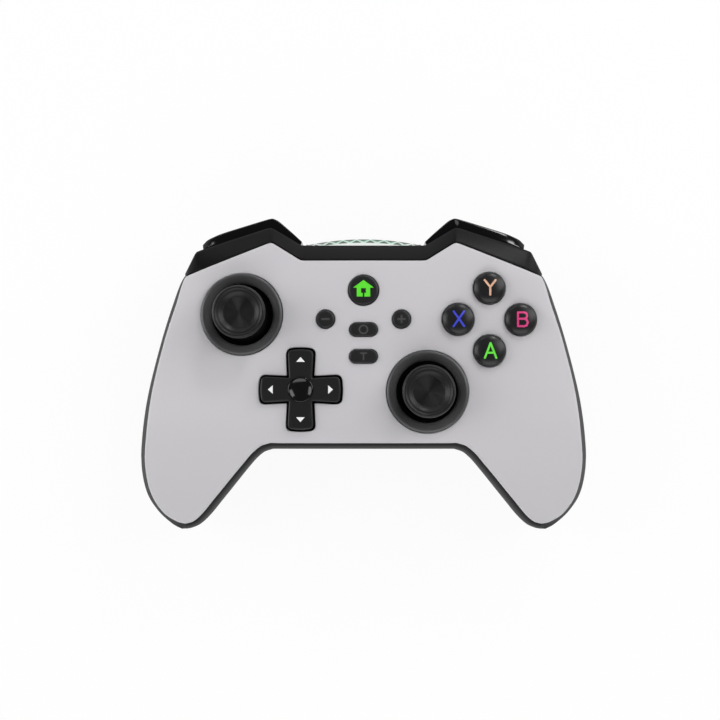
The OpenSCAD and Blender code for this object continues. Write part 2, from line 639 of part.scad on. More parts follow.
// Post of the stick with its cross pin in the yoke
module stick_lever(p) translate([p[0], p[1], pivot_z]) {
  translate([0, 0, -1.5]) cylinder(r = lever_r, h = cap_rise - 6.2 + 1.5, $fn = 32);
  rotate([90, 0, 0]) cylinder(r = cross_pin_r, h = 2 * yoke_r - 0.3, center = true, $fn = 24);
}
module left_stick_lever() color([0.85, 0.85, 0.85]) stick_lever(left_stick_c);
module right_stick_lever() color([0.85, 0.85, 0.85]) stick_lever(right_stick_c);

// Inner ring of the stick gimbal with trunnions along X
module stick_yoke(p) translate([p[0], p[1], pivot_z]) difference() {
  union() {
    cylinder(r = yoke_r, h = yoke_h, center = true, $fn = 48);
    rotate([0, 90, 0]) cylinder(r = trunnion_r, h = carrier_out - 0.2, center = true, $fn = 24);
  }
  cylinder(r = yoke_hole_r, h = 20, center = true, $fn = 48);
  rotate([90, 0, 0]) cylinder(r = cross_pin_r + pin_play, h = 20, center = true, $fn = 24);
}
module left_stick_yoke() color([0.9, 0.88, 0.8]) stick_yoke(left_stick_c);
module right_stick_yoke() color([0.9, 0.88, 0.8]) stick_yoke(right_stick_c);

// Square frame that holds the trunnions and slides down in the base for the click
module stick_carrier(p) translate([p[0], p[1], pivot_z]) difference() {
  translate([-carrier_out / 2, -carrier_out / 2, carrier_low]) cube([carrier_out, carrier_out, 2.8 - carrier_low]);
  translate([-carrier_in / 2, -carrier_in / 2, -10]) cube([carrier_in, carrier_in, 20]);
  rotate([0, 90, 0]) cylinder(r = trunnion_r + pin_play, h = 20, center = true, $fn = 24);
}
module left_stick_carrier() color([0.3, 0.3, 0.32]) stick_carrier(left_stick_c);
module right_stick_carrier() color([0.3, 0.3, 0.32]) stick_carrier(right_stick_c);

// Stick module housing on the board
module stick_base(p) translate([p[0], p[1], board_z]) difference() {
  linear_extrude(8.6) square(base_out, center = true);
  translate([0, 0, base_t]) linear_extrude(20) square(base_in, center = true);
  for (a = [45:90:315])
    rotate([0, 0, a]) translate([base_out * 0.64, -5, -1]) cube([5, 10, 20]);
}
module left_stick_base() color([0.6, 0.6, 0.62]) stick_base(left_stick_c);
module right_stick_base() color([0.6, 0.6, 0.62]) stick_base(right_stick_c);

// Tilt of the direction pad each way in degrees
pad_tilt = 4;
cross_lip = dpad_reach + 1.4;
cross_flange = 0.8;
face_clearance = 1.1;
// Underside of the cross, whose flange clears the face when the pad tilts both ways
cross_low = -wall - cross_flange - cross_lip * sin(pad_tilt * sqrt(2)) - face_clearance;
// Direction pad cross with a flange under the face
module dpad_cross() color([0.1, 0.1, 0.11]) on_face(pad_c) difference() {
  union() {
    translate([0, 0, cross_low + cross_flange / 2])
      linear_extrude(1 - cross_low - cross_flange / 2) cross_outline(0);
    translate([0, 0, 1]) linear_extrude(0.5) cross_outline(-0.5);
    translate([0, 0, cross_low]) cylinder(r = cross_lip, h = cross_flange, $fn = 64);
  }
  translate([0, 0, 0.2]) cylinder(d = dpad_root + 0.2, h = 5, $fn = 48);
}

// Glossy dished disc at the middle of the cross
module dpad_disc() color([0.02, 0.02, 0.02]) on_face(pad_c) rotate_extrude($fn = 64) {
  r = dpad_root / 2;
  polygon([[0, 0.2], [r, 0.2], [r, 1.4], [r - 0.3, 1.5], [r - 0.6, 1.4], [2.4, 0.95], [1.2, 0.8], [0, 0.75]]);
}

membrane_t = 1;
dome_h = action_travel + 1.4;
dome_top = board_z + membrane_t + dome_h;
// Rocker under the cross with the pivot foot and four plungers
module dpad_rocker() color([0.3, 0.3, 0.3]) translate([pad_c[0], pad_c[1], 0]) {
  difference() {
    union() {
      translate([0, 0, dome_top + 1.8]) cylinder(r = 13.4, h = 1.4, $fn = 64);
      translate([0, 0, board_z + 0.3])
        cylinder(r = 2.2, h = face_h(pad_c) + cross_low - 0.6 - board_z, $fn = 32);
    }
    for (a = [45:90:315])
      rotate([0, 0, a]) translate([11, 0, dome_top]) cylinder(r = 4, h = 9, $fn = 32);
  }
  for (a = [0:90:270])
    rotate([0, 0, a]) translate([9.5, 0, dome_top + 0.02]) cylinder(r = 2, h = 2, $fn = 24);
}

// Rubber membranes with one dome under each contact
module membrane_dome(p) translate([p[0], p[1], board_z]) rotate_extrude($fn = 32)
  polygon([[0, 0.4], [3.8, 0.4], [3.4, membrane_t], [2.6, membrane_t + dome_h], [0, membrane_t + dome_h]]);
module dpad_membrane() color([0.5, 0.5, 0.52]) {
  difference() {
    translate([pad_c[0], pad_c[1], board_z]) cylinder(r = 13.6, h = membrane_t, $fn = 64);
    translate([pad_c[0], pad_c[1], board_z - 1]) cylinder(r = 4, h = 5, $fn = 32);
  }
  for (q = [[9.5, 0], [0, 9.5], [-9.5, 0], [0, -9.5]]) membrane_dome(pad_c + q);
}
module action_membrane() color([0.5, 0.5, 0.52]) {
  translate([action_c[0], action_c[1], board_z]) linear_extrude(membrane_t) {
    square([2 * action_spread, 8], center = true);
    square([8, 2 * action_spread], center = true);
  }
  for (p = [action_y, action_a, action_x, action_b]) membrane_dome(p);
}

// Round domed face button with its stop flange and plunger
module action_button(p) {
  r = action_d / 2;
  z = face_h(p);
  low = z - guide_l - fit;
  translate([p[0], p[1], 0]) rotate_extrude($fn = 64)
    polygon([
      [0, dome_top + 0.02], [2.4, dome_top + 0.02], [2.4, low - 1.2], [r + 1, low - 1.2], [r + 1, low], [r, low],
      [r, z + 1.3], [r - 0.2, z + 1.75], [r - 0.7, z + 2.15], [r - 2, z + 2.6], [r - 3.6, z + 2.9], [0, z + 3]
    ]);
}
module button_y() color([0.14, 0.14, 0.15]) action_button(action_y);
module button_x() color([0.14, 0.14, 0.15]) action_button(action_x);
module button_b() color([0.14, 0.14, 0.15]) action_button(action_b);
module button_a() color([0.14, 0.14, 0.15]) action_button(action_a);

tact_h = 3.4;
tact_gap = tact_travel + 0.1;
tact_top = board_z + tact_h + tact_gap;
// Round button over a switch, with a stop flange under the face
module tact_button(p, d, drop, rise) {
  z = face_h(p);
  low = z - drop;
  translate([p[0], p[1], 0]) rotate_extrude($fn = 64)
    polygon([
      [0, tact_top], [1.5, tact_top], [1.5, low - 1], [d / 2 + 0.9, low - 1], [d / 2 + 0.9, low], [d / 2, low],
      [d / 2, z + rise - 0.4], [d / 2 - 0.4, z + rise], [0, z + rise + 0.15]
    ]);
}
module home_button() color([0.1, 0.1, 0.11]) tact_button(home_at, home_d, guide_l + fit, 0.6);
module minus_button() color([0.12, 0.12, 0.13]) tact_button([-menu_x, menu_y], menu_d, wall + 0.4, 0.8);
module plus_button() color([0.12, 0.12, 0.13]) tact_button([menu_x, menu_y], menu_d, wall + 0.4, 0.8);

// Pill-shaped button over a switch
module pill_button(p) {
  z = face_h(p);
  low = z - wall - 0.4;
  translate([p[0], p[1], 0]) {
    translate([0, 0, tact_top]) cylinder(r = 1.5, h = low - tact_top, $fn = 32);
    translate([0, 0, low - 1]) linear_extrude(1) pill_outline(pill_l + 1.6, pill_w + 1.6);
    translate([0, 0, low - 0.5]) linear_extrude(z + 0.5 - low + 0.5) pill_outline(pill_l, pill_w);
    translate([0, 0, z]) linear_extrude(0.8) pill_outline(pill_l - 0.6, pill_w - 0.6);
  }
}
module capture_button() color([0.12, 0.12, 0.13]) pill_button([0, pill_y[0]]);
module turbo_button() color([0.12, 0.12, 0.13]) pill_button([0, pill_y[1]]);

// Five small switches under the home, menu and pill buttons
module tact_switches() color([0.8, 0.8, 0.82]) {
  for (p = [home_at, [-menu_x, menu_y], [menu_x, menu_y], [0, pill_y[0]], [0, pill_y[1]]])
    translate([p[0], p[1], board_z]) {
      translate([-3, -3, 0]) cube([6, 6, 2.4]);
      cylinder(r = 1.7, h = tact_h, $fn = 24);
    }
}

// Switch behind each bumper, standing on the shoulder frame
module bumper_switches() color([0.8, 0.8, 0.82]) {
  for (i = [0, 1]) mirror([i, 0, 0]) {
    translate([switch_x - 3, switch_y - 4, 32]) cube([6, 4, 2.6]);
    translate([switch_x - 0.6, switch_y - 0.5, 32.7]) cube([1.4, 1.7, 1.3]);
  }
}

// Main circuit board with a tongue for the socket
module main_board() color([0.05, 0.25, 0.14]) translate([0, 0, board_z - board_t]) linear_extrude(board_t)
  polygon(all_across([
    [-44, -19], [-5, -19], [-5, -11.8], [5, -11.8], [5, -19], [44, -19], [52, -11], [52, 4], [55.6, 8],
    [55.6, 22], [50, 25], [50, 32.5], [33, 32.5], [33, 25], [18, 25], [18, 41], [-18, 41], [-18, 25],
    [-50, 25], [-52, 22], [-52, -11]
  ]));

// Hollow socket under the board's tongue with its contact blade
module usb_socket() color([0.75, 0.75, 0.77])
translate([0, usb_y, board_z - board_t - usb_h / 2]) rotate([90, 0, 0]) {
  difference() {
    linear_extrude(7.3) pill_outline(usb_w, usb_h);
    translate([0, 0, -1]) linear_extrude(7.5) pill_outline(usb_w - 0.6, usb_h - 0.6);
  }
  translate([0, 0, 3.6]) cube([6.7, 0.7, 6], center = true);
}

module battery() color([0.55, 0.56, 0.6])
  translate([-battery_size[0] / 2, 9 - battery_size[1] / 2, battery_z]) cube(battery_size);

// Rumble motor can with its bearing nose
module rumble_motor() translate(motor_at) rotate([90, 0, 0]) difference() {
  union() {
    cylinder(d = motor_d, h = motor_l, $fn = 48);
    cylinder(r = 2, h = motor_l + 1, $fn = 32);
  }
  translate([0, 0, 4]) cylinder(r = 0.8, h = 40, $fn = 24);
}
module right_rumble_motor() color([0.7, 0.7, 0.7]) rumble_motor();
module left_rumble_motor() color([0.7, 0.7, 0.7]) mirrored() rumble_motor();

// Motor shaft with the off-centre weight
module rumble_weight() translate(motor_at) rotate([90, 0, 0]) {
  translate([0, 0, 5]) cylinder(r = 0.75, h = motor_l + 3.6, $fn = 24);
  translate([0, 0, motor_l + 1.8]) intersection() {
    cylinder(r = weight_r, h = 6, $fn = 48);
    translate([-weight_r - 1, -weight_r - 1, -1]) cube([2 * weight_r + 2, weight_r + 2.6, 8]);
  }
}
module right_rumble_weight() color([0.6, 0.6, 0.58]) rumble_weight();
module left_rumble_weight() color([0.6, 0.6, 0.58]) mirrored() rumble_weight();

// Identical housing screws with a cross recess
module housing_screws() color([0.25, 0.25, 0.26]) {
  for (s = screws)
    translate([s[0], s[1], s[2]]) difference() {
      union() {
        translate([0, 0, -head_h]) cylinder(d = head_d, h = head_h, $fn = 32);
        cylinder(d = screw_d, h = screw_l, $fn = 24);
      }
      translate([0, 0, -head_h]) cube([3, 0.8, 1.8], center = true);
      translate([0, 0, -head_h]) cube([0.8, 3, 1.8], center = true);
    }
}

front_shell();
rear_shell();
top_band();
light_window();
light_board();
shoulder_frame();
left_bumper();
right_bumper();
left_trigger();
right_trigger();
left_trigger_pin();
right_trigger_pin();
left_trigger_spring();
right_trigger_spring();
left_stick_ring();
right_stick_ring();
left_stick_cap();
right_stick_cap();
left_stick_lever();
right_stick_lever();
left_stick_yoke();
right_stick_yoke();
left_stick_carrier();
right_stick_carrier();
left_stick_base();
right_stick_base();
dpad_cross();
dpad_disc();
dpad_rocker();
dpad_membrane();
action_membrane();
button_y();
button_x();
button_b();
button_a();
home_button();
minus_button();
plus_button();
capture_button();
turbo_button();
tact_switches();
bumper_switches();
main_board();
usb_socket();
battery();
left_rumble_motor();
right_rumble_motor();
left_rumble_weight();
right_rumble_weight();
housing_screws();
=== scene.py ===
"""Two-stick wireless gamepad: the visual model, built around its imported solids."""

import json
import math

import bmesh
import bpy
from bpy.props import FloatProperty, FloatVectorProperty, PointerProperty
from mathutils import Matrix, Vector
from mathutils.geometry import delaunay_2d_cdt
from mathutils.kdtree import KDTree


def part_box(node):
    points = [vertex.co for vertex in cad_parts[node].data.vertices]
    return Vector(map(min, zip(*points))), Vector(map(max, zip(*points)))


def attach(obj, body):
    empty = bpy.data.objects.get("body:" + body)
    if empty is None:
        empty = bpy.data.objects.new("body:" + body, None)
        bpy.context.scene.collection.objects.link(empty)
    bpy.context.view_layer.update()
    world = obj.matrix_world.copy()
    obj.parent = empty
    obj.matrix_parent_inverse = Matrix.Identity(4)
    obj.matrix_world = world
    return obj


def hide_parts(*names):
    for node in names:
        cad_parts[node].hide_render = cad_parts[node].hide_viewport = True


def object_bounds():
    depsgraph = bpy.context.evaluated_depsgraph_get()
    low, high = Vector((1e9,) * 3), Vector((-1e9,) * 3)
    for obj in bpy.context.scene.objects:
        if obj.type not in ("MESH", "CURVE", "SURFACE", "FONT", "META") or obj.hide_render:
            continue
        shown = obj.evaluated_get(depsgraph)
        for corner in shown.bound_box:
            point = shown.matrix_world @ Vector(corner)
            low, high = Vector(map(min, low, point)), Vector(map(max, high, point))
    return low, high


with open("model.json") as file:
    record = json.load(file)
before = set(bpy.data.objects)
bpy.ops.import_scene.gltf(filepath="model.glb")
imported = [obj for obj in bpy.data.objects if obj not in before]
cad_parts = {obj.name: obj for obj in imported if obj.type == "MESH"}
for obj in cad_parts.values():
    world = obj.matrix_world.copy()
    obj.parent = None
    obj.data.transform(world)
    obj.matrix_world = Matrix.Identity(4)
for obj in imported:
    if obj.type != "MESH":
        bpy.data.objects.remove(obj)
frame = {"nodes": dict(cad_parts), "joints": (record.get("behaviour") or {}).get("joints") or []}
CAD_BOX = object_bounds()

bl_info = {
    "name": "Two-stick gamepad",
    "version": (1, 0, 0),
    "blender": (4, 5, 0),
    "location": "View3D > Sidebar > Gamepad",
    "description": "Builds the finished surfaces of a two-stick wireless gamepad and its studio",
    "category": "Object",
}

# Shapes are written in millimetres and turned into metres when a mesh is made
MM = 0.001
# Points nearer than the first are one point; after a cut, faces thinner than the second are dissolved
WELD = 0.002 * MM
SLIVER = 0.005 * MM
# Angle in degrees above which an edge stays sharp
SHARP = 34
# A moved loop's run shorter than this share of its old length is drawn together, in this many rounds
FOLD_SHARE = 0.2
FOLD_PASSES = 4
# Points inside a sheet keep this share of their spacing from its outlines
CLEAR = 0.6
HALF = CAD_BOX[1].x / MM
FRONT_Y = CAD_BOX[0].y / MM


def node_centre(node):
    """Middle of a CAD node's box on the face, in millimetres."""
    low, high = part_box(node)
    return Vector(((low.x + high.x) / 2 / MM, (low.y + high.y) / 2 / MM))


def node_top(node):
    """Highest point of a CAD node, in millimetres."""
    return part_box(node)[1].z / MM


def node_low(node):
    """Lowest point of a CAD node, in millimetres."""
    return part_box(node)[0].z / MM


def joint(name):
    """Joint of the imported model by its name."""
    return next(j for j in frame["joints"] if j["name"] == name)


# Face: its height in the middle, and its fall to the sides, the grips and the top edge
FACE_Z = node_top("front_shell")
FACE_CROWN, CROWN_RUN = 3.0, 62
GRIP_FALL, GRIP_FROM, GRIP_RUN, GRIP_POWER = 15.0, -14, 40, 1.6
TOP_FALL, TOP_FROM, TOP_RUN = 1.5, 20, 24

# Housing: walls, the drop of its widest line below the rim, and its outlines by numbered stations
WALL = 2.0
INSET = WALL * 1.3
SKIRT = 5.0
BELLY_DROP = 7.0
BELLY_POWER = 2.4
SIDE_DROP = 0.36
PART_GAP = 0.1
FACE_TOP = 37.4
NOTCH_Y = -24.7
SMOOTH_FROM = 8
# Share of a run that a corner's curve takes up: on the face and the band, on the bumpers, and elsewhere
FACE_EASE = 0.07
BUMPER_EASE = 0.3
EASE = 0.2
FACE_OUTER = [
    (0, FACE_TOP), (10, FACE_TOP), (20.6, FACE_TOP), (29.6, 43.1), (30.6, 43.4), (31.8, 43.1),
    (44, 38.3), (54, 34.35), (58.7, 32.4), (62, 22.6), (65.7, 11), (69.6, -5), (71.6, -19),
    (72.5, -30), (71.1, -39.5), (67.5, -46), (63.5, -49), (61.1, -49.85),
]
FACE_INNER = [(x, NOTCH_Y + 2.2) for x in (0, 7, 14, 19, 22, 25, 28)] + [
    (30.5, NOTCH_Y + 2.3), (33.6, -23.3), (37, -26), (40.3, -29.8), (44, -34.1), (47.6, -38.4),
    (51, -42.4), (54.2, -46.2), (57, -48.9), (58.9, -49.7), (60.1, -49.95),
]
BELLY_OUTER = [
    (0, 45), (10, 45), (20, 44.6), (27, 45.2), (31, 45.2), (35, 45), (46, 43.4), (56, 39.8),
    (61.2, 33.6), (65.2, 23.6), (69.6, 9.6), (73.8, -7), (75.9, -21), (HALF, -31),
    (74.9, -40.2), (71, -46.6), (66, -50.9), (62.5, -52.5),
]
BELLY_INNER = [(x, NOTCH_Y) for x in (0, 7.5, 15, 19.5, 22.5, 25.5, 28.2, 30.4)] + [
    (33, -25.5), (35.8, -27.7), (38.8, -31), (42, -34.8), (45.4, -38.9), (49, -43.2), (52.6, -47.5),
    (56.2, -50.9), (59.2, -52.3), (61.2, FRONT_Y),
]
# Height of the underside and extra depth of the face's skirt at each station
FLOOR_Z = [13] * 7 + [12.8, 12, 10.3, 7.8, 4.6, 1.8, 0, 0.8, 3.8, 8.4, 13]
SKIRT_MORE = [2] * 7 + [1.6, 0.8] + [0] * 9
LAST = len(FACE_OUTER) - 1
# The inner wall runs through the last stations at this share of the pace, so that the grip's tip is closed
TIP_STATIONS = 3
TIP_PACE = 0.5

# Screws: the seat of each head, the boss round it and the well below it
SCREWS = [(60.2, 11, 19), (-60.2, 11, 19), (63.5, -43, 8), (-63.5, -43, 8), (0, -16.6, 24)]
BOSS_R, BOSS_BELOW, BOSS_ABOVE = 4.2, 14, 2.9
WELL_R, WELL_DEPTH = 2.85, 24
# With this count no corner lies on the middle line, where the back half has an edge
SCREW_SIDES = 46

# Top edge and shoulders
BAND_Z = node_low("top_band")
BAND_OUTER = [
    (0, FACE_TOP + 5.6), (10, FACE_TOP + 5.6), (20.6, FACE_TOP + 5.6), (29.7, 48.5), (30.7, 48.9),
    (32, 48.7), (44.8, 44.55), (55.7, 40.9), (59.3, 33.5),
]
WINDOW_R = 91.6
WINDOW_SPREAD = math.radians(12.6)
WINDOW_LOW = node_low("light_window")
WINDOW_TOP = node_top("light_window")
WINDOW_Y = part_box("light_window")[1].y / MM
# Two staggered rows of triangles on the strip: their pitch, and the corners of each kind
PITCH = 4.68
LOWER_TRIANGLE = ((-1.95, -0.2), (0, -1.25), (1.95, -0.2))
UPPER_TRIANGLE = ((1.5, -1.85), (0, -0.8), (-1.5, -1.85))
# Where the strip's painted glow fades: along it from its middle, and up from its lower edge
FADE_ALONG = (8, 18)
FADE_UP = (5.2, 6.6)
BUMPER_TOP = node_top("right_bumper")
BUMPER_LOW = node_low("right_bumper")
BUMPER_WALL = 1.6
BUMPER_ROOF = 1.4
END_ROOF, END_WALL = 4.5, 5.5
BUMPER_INNER = [
    (20.9, 43.4), (24.4, 45.5), (29.7, 48.5), (30.7, 48.9), (32, 48.7), (46, 44.2), (51.5, 42.5),
    (53.4, 41.7),
]
BUMPER_OUTER = [
    (20.5, 44.5), (23.2, 47.1), (28.3, 51.6), (30.3, 52.5), (32.2, 52.2), (47.7, 47.5), (52.2, 45.5),
    (53.8, 43.7),
]
# Points across the bumper's flat top and round its edge
FACET_STEPS = 4
EDGE_STEPS = 8
HINGE = joint("right_trigger_pull")
TRIGGER_AT = Vector(HINGE["pos_m"]) / MM
TRIGGER_SKEW = math.atan2(abs(HINGE["axis"][1]), abs(HINGE["axis"][0]))
TRIGGER_W = 22.6
LUG_REACH = TRIGGER_W / 2 + 2.6
HUB_R = 3.4
# Room in the back half, in the trigger's frame: from and to along Y, then along Z
SHOULDER_ROOM = ((1.5, 41.5), (2.8, 27.8))
TRIGGER_ROOM = ((4.2, 44.2), (-40, 3))
LUG_ROOM = ((-8, 4.7), (-2.8, 17.2))
# Side view of the trigger from its hinge to its tip: the finger side and the hollow side
TRIGGER_FRONT = [
    (-1, 2.7), (5, 2.8), (11.5, 2.8), (14.2, 2.3), (15.2, 0.6), (15.4, -2.5), (15.3, -5.5), (15.5, -9),
    (16.2, -12), (17.1, -14.5), (16.9, -15.6),
]
TRIGGER_BACK = [
    (0, -1.3), (5.2, -1.3), (8.6, -3), (10.3, -3.6), (11.1, -4.3), (11.7, -5.1), (12.1, -6.4), (12.7, -9),
    (13.6, -12), (15.2, -15.2), (16.1, -15.9),
]
# Lowest point of the trigger's tip by the distance from its middle
TRIGGER_TIP = [(0, -16), (4.7, -16), (7.3, -15), (9.3, -12.6), (10.6, -9.4), (11.3, -6)]
TIP_FROM = -3

# Controls
STICKS = {side: node_centre(side + "_stick_ring") for side in ("left", "right")}
PIVOT_Z = joint("left_stick_tilt_y")["pos_m"][2] / MM
RING_R = 13.4
RING_HOLE_R = 10.2
CAP_R = 8.55
CAP_RISE = 21.5
STICK_SIDES = 128
# Dome under the stick's cap: radius, thickness and the angle in degrees at which it ends
DOME_R = 10.2
DOME_SKIN = 0.8
DOME_END = 27
FIT = 0.15
DPAD = node_centre("dpad_cross")
CROSS_RISE = 1.5
CROSS_EDGE = 0.5
POCKET_R = 4.25
DISC_R = 4.15
ACTION_BUTTONS = {key: node_centre("button_" + key) for key in "yxba"}
ACTION_R = 5.25
# Dome of a face button: the rise of its edge and its crown, and the power of its curve
ACTION_RISE, ACTION_CROWN, ACTION_POWER = 1.3, 1.7, 2.2
HOME_R = 5.0
MENU_R = 3.02
PILL_L = 9.15
PILL_W = 4.42
PILL_EDGE = 0.5
BUTTON_GAP = 0.13
# Printed marks: how far they reach into the surface, and the distance between their points
MARK_DEPTH = 0.3
MARK_SPACING = 0.6
# Depth of the flange below the face: of the round buttons, and below the wall of the small ones
FLANGE_DROP = 5.65
GUIDE = 0.4

# Rubber membranes: sheet, collar and dome
SHEET = 1
COLLAR = 0.9
COLLAR_SLOPE = 0.2
DOME_FOOT = 3.8
DOME_WELL = 2.95
DOME_SIDES = 40
PAD_CONTACT = 9.5

# Strokes of the button letters about the middle of the button
LETTERS = {
    "y": [[(-1.8, 2.4), (0, 0.1)], [(1.8, 2.4), (0, 0.1)], [(0, 0.1), (0, -2.4)]],
    "x": [[(-1.7, 2.4), (1.7, -2.4)], [(1.7, 2.4), (-1.7, -2.4)]],
    "a": [[(0, 2.4), (-1.85, -2.4)], [(0, 2.4), (1.85, -2.4)], [(-1.2, -0.75), (1.2, -0.75)]],
    "b": [
        [
            (0.8, 0.05), (-1.25, 0.05), (-1.25, 2.15), (0.8, 2.15), (1.5, 1.85), (1.75, 1.1), (1.5, 0.35),
            (0.8, 0.05),
        ],
        [
            (0.8, 0.05), (1.6, -0.25), (1.95, -1.15), (1.6, -2.05), (0.8, -2.35), (-1.25, -2.35),
            (-1.25, 0.05),
        ],
    ],
}

# Finishes: roughness, grain in millimetres, relief of the grain, drift of tone and specular level
FINISHES = {
    "faceplate_grain": (0.55, 0.22, 0.01, 0.012, 0.3),
    "housing_grain": (0.55, 0.3, 0.02, 0.06, 0.2),
    "band_satin": (0.34, 0.25, 0.008, 0.04, 0.15),
    "window_glow": (0.3, 0.4, 0.004, 0.02, 0.4),
    "window_ink": (0.4, 0.4, 0.004, 0.03, 0.5),
    "bumper_polish": (0.1, 0.5, 0.001, 0.05, 0.28),
    "trigger_satin": (0.36, 0.25, 0.008, 0.05, 0.5),
    "ring_satin": (0.34, 0.2, 0.004, 0.04, 0.55),
    "cap_rubber": (0.38, 0.18, 0.008, 0.05, 0.3),
    "cap_spun_disc": (0.36, 0.12, 0.002, 0.05, 0.35),
    "cross_satin": (0.38, 0.22, 0.006, 0.04, 0.35),
    "disc_polish": (0.1, 0.5, 0.001, 0.05, 0.5),
    "arrow_ink": (0.45, 0.3, 0.003, 0.015, 0.5),
    "button_satin": (0.3, 0.22, 0.004, 0.04, 0.35),
    "letter_ink": (0.4, 0.3, 0.003, 0.02, 0.5),
    "small_button_satin": (0.4, 0.22, 0.005, 0.04, 0.35),
    "small_mark_ink": (0.45, 0.3, 0.003, 0.02, 0.5),
    "home_mark_ink": (0.4, 0.3, 0.003, 0.02, 0.5),
    "silicone": (0.6, 0.3, 0.01, 0.03, 0.5),
    "inner_moulding": (0.5, 0.3, 0.012, 0.04, 0.5),
    "solder_mask": (0.35, 0.5, 0.004, 0.08, 0.5),
    "battery_wrap": (0.3, 0.6, 0.004, 0.04, 0.5),
    "brushed_steel": (0.3, 0.15, 0.003, 0.04, 0.5),
    "black_zinc": (0.32, 0.2, 0.004, 0.08, 0.5),
}

# Studio: the floor's half width, the lamps' place, width, height and power, and what they point at
FLOOR_HALF = 3.0
LAMPS = {
    "left_box": ((-0.8, 0.1, 0.45), 0.5, 0.9, 4.5),
    "right_box": ((0.7, 0.35, 0.62), 0.5, 0.9, 4.7),
    "lower_box": ((0.1, -1.0, 0.95), 1.4, 0.8, 7.4),
    "right_strip": ((0.34, 0.85, 0.62), 0.25, 0.16, 2.4),
    "left_strip": ((-0.36, 0.92, 0.55), 0.3, 0.07, 0.5),
}
LAMP_AIM = Vector((0, 0, 0.03))
# World: the sines of the elevations between which the white horizon fades, and its strengths there
HORIZON = {"From_Min": 0.24, "From_Max": 0.44, "To_Min": 1.0, "To_Max": 0.1}
# Floor: grey of the paper, and the share of white that the camera sees
PAPER = 0.9
PAPER_WHITE = 0.93
# Camera: place, and focal length, image width and the turns up and aside in pixels of the image
EYE = (0, -0.01175, 0.444)
FOCAL_PX, IMAGE_PX, TILT_PX, ROLL_PX = 1227, 720, 50.3, 3.5
SENSOR = 36


def lerp(a, b, t):
    """Number or point between two others."""
    return a + (b - a) * t


def steps(start, stop, count):
    """Evenly spaced numbers with both ends."""
    return [start + (stop - start) * k / count for k in range(count + 1)]


def table_value(table, x):
    """Value of a table of pairs at a place between its rows."""
    for (x0, y0), (x1, y1) in zip(table, table[1:]):
        if x <= x1:
            return lerp(y0, y1, max(0, (x - x0) / (x1 - x0)))
    return table[-1][1]


def knot(points, i):
    """Station of a list, held at its ends."""
    p = points[max(0, min(i, len(points) - 1))]
    return Vector(p) if isinstance(p, tuple) else p


def straight(points, u):
    """Point on the straight runs between numbered stations."""
    i = min(int(u), len(points) - 2)
    return lerp(knot(points, i), knot(points, i + 1), u - i)


def through(points, u):
    """Point on a smooth curve through numbered stations."""
    i = min(int(u), len(points) - 2)
    f = u - i
    a, b, c, d = (knot(points, k) for k in (i - 1, i, i + 1, i + 2))
    return (b * 2 + (c - a) * f + (a * 2 - b * 5 + c * 4 - d) * f * f + (b * 3 - a - c * 3 + d) * f ** 3) / 2


def eased(points, u, reach, smooth_from=99):
    """Point of an outline whose straight runs meet in short curves and end in one smooth curve."""
    def run(v):
        return through(points, v) if v >= smooth_from else straight(points, v)

    k = round(u)
    if 0 < k < len(points) - 1 and k <= smooth_from and abs(u - k) < reach:
        t = (u - k + reach) / (2 * reach)
        return lerp(lerp(run(k - reach), knot(points, k), t), lerp(knot(points, k), run(k + reach), t), t)
    return run(u)


def station(points, u):
    """Point of a housing outline at a station, mirrored for the left half."""
    p = eased(points, abs(u), FACE_EASE if points is FACE_OUTER else EASE, SMOOTH_FROM)
    return Vector((math.copysign(p.x, u), p.y)) if isinstance(p, Vector) else p


def face_height(p):
    """Height of the faceplate's upper surface over a point."""
    fall = max(0.0, GRIP_FROM - p[1]) / GRIP_RUN
    rise = max(0.0, p[1] - TOP_FROM) / TOP_RUN
    crown = FACE_CROWN * (p[0] / CROWN_RUN) ** 2
    return FACE_Z - crown - GRIP_FALL * fall ** GRIP_POWER - TOP_FALL * rise ** 2


def at(p, z):
    """Point of the plan raised to a height, kept inside the solids' box."""
    return Vector((max(-HALF, min(HALF, p[0])), max(FRONT_Y, p[1]), max(0, z)))


def free(p, z):
    """Point of the plan raised to a height."""
    return Vector((p[0], p[1], z))


def round_corners(path, cut, closed=True, least_turn=10, parts=5):
    """Path with each corner replaced by a short curve that starts a cut before it."""
    out = []
    for i, p in enumerate(path):
        if not closed and i in (0, len(path) - 1):
            out.append(p.copy())
            continue
        before, after = path[i - 1] - p, path[(i + 1) % len(path)] - p
        if 180 - math.degrees(before.angle(after, math.pi)) < least_turn:
            out.append(p.copy())
            continue
        a = p + before * min(cut / before.length, 0.45)
        b = p + after * min(cut / after.length, 0.45)
        out.extend(a.lerp(p, t).lerp(p.lerp(b, t), t) for t in steps(0, 1, parts))
    return out


def fine(path, longest):
    """Closed path with its long runs divided."""
    out = []
    for i, p in enumerate(path):
        q = path[(i + 1) % len(path)]
        parts = max(1, math.ceil((q - p).length / longest))
        out.extend(p.lerp(q, k / parts) for k in range(parts))
    return out


def drawn_together(loop, moved):
    """Moved loop in which each run that folded back or nearly closed up is one point."""
    count = len(loop)

    def closed_up(i):
        run = (loop[(i + 1) % count] - loop[i]).xy
        return (moved[(i + 1) % count] - moved[i]).xy.dot(run) < FOLD_SHARE * run.dot(run)

    for _ in range(FOLD_PASSES):
        groups = [[0]]
        for i in range(1, count):
            if closed_up(i - 1):
                groups[-1].append(i)
            else:
                groups.append([i])
        if len(groups) > 1 and closed_up(count - 1):
            groups[0] += groups.pop()
        for group in groups:
            middle = sum((moved[i] for i in group[1:]), moved[group[0]]) / len(group)
            for i in group:
                moved[i] = middle.copy()
    return moved


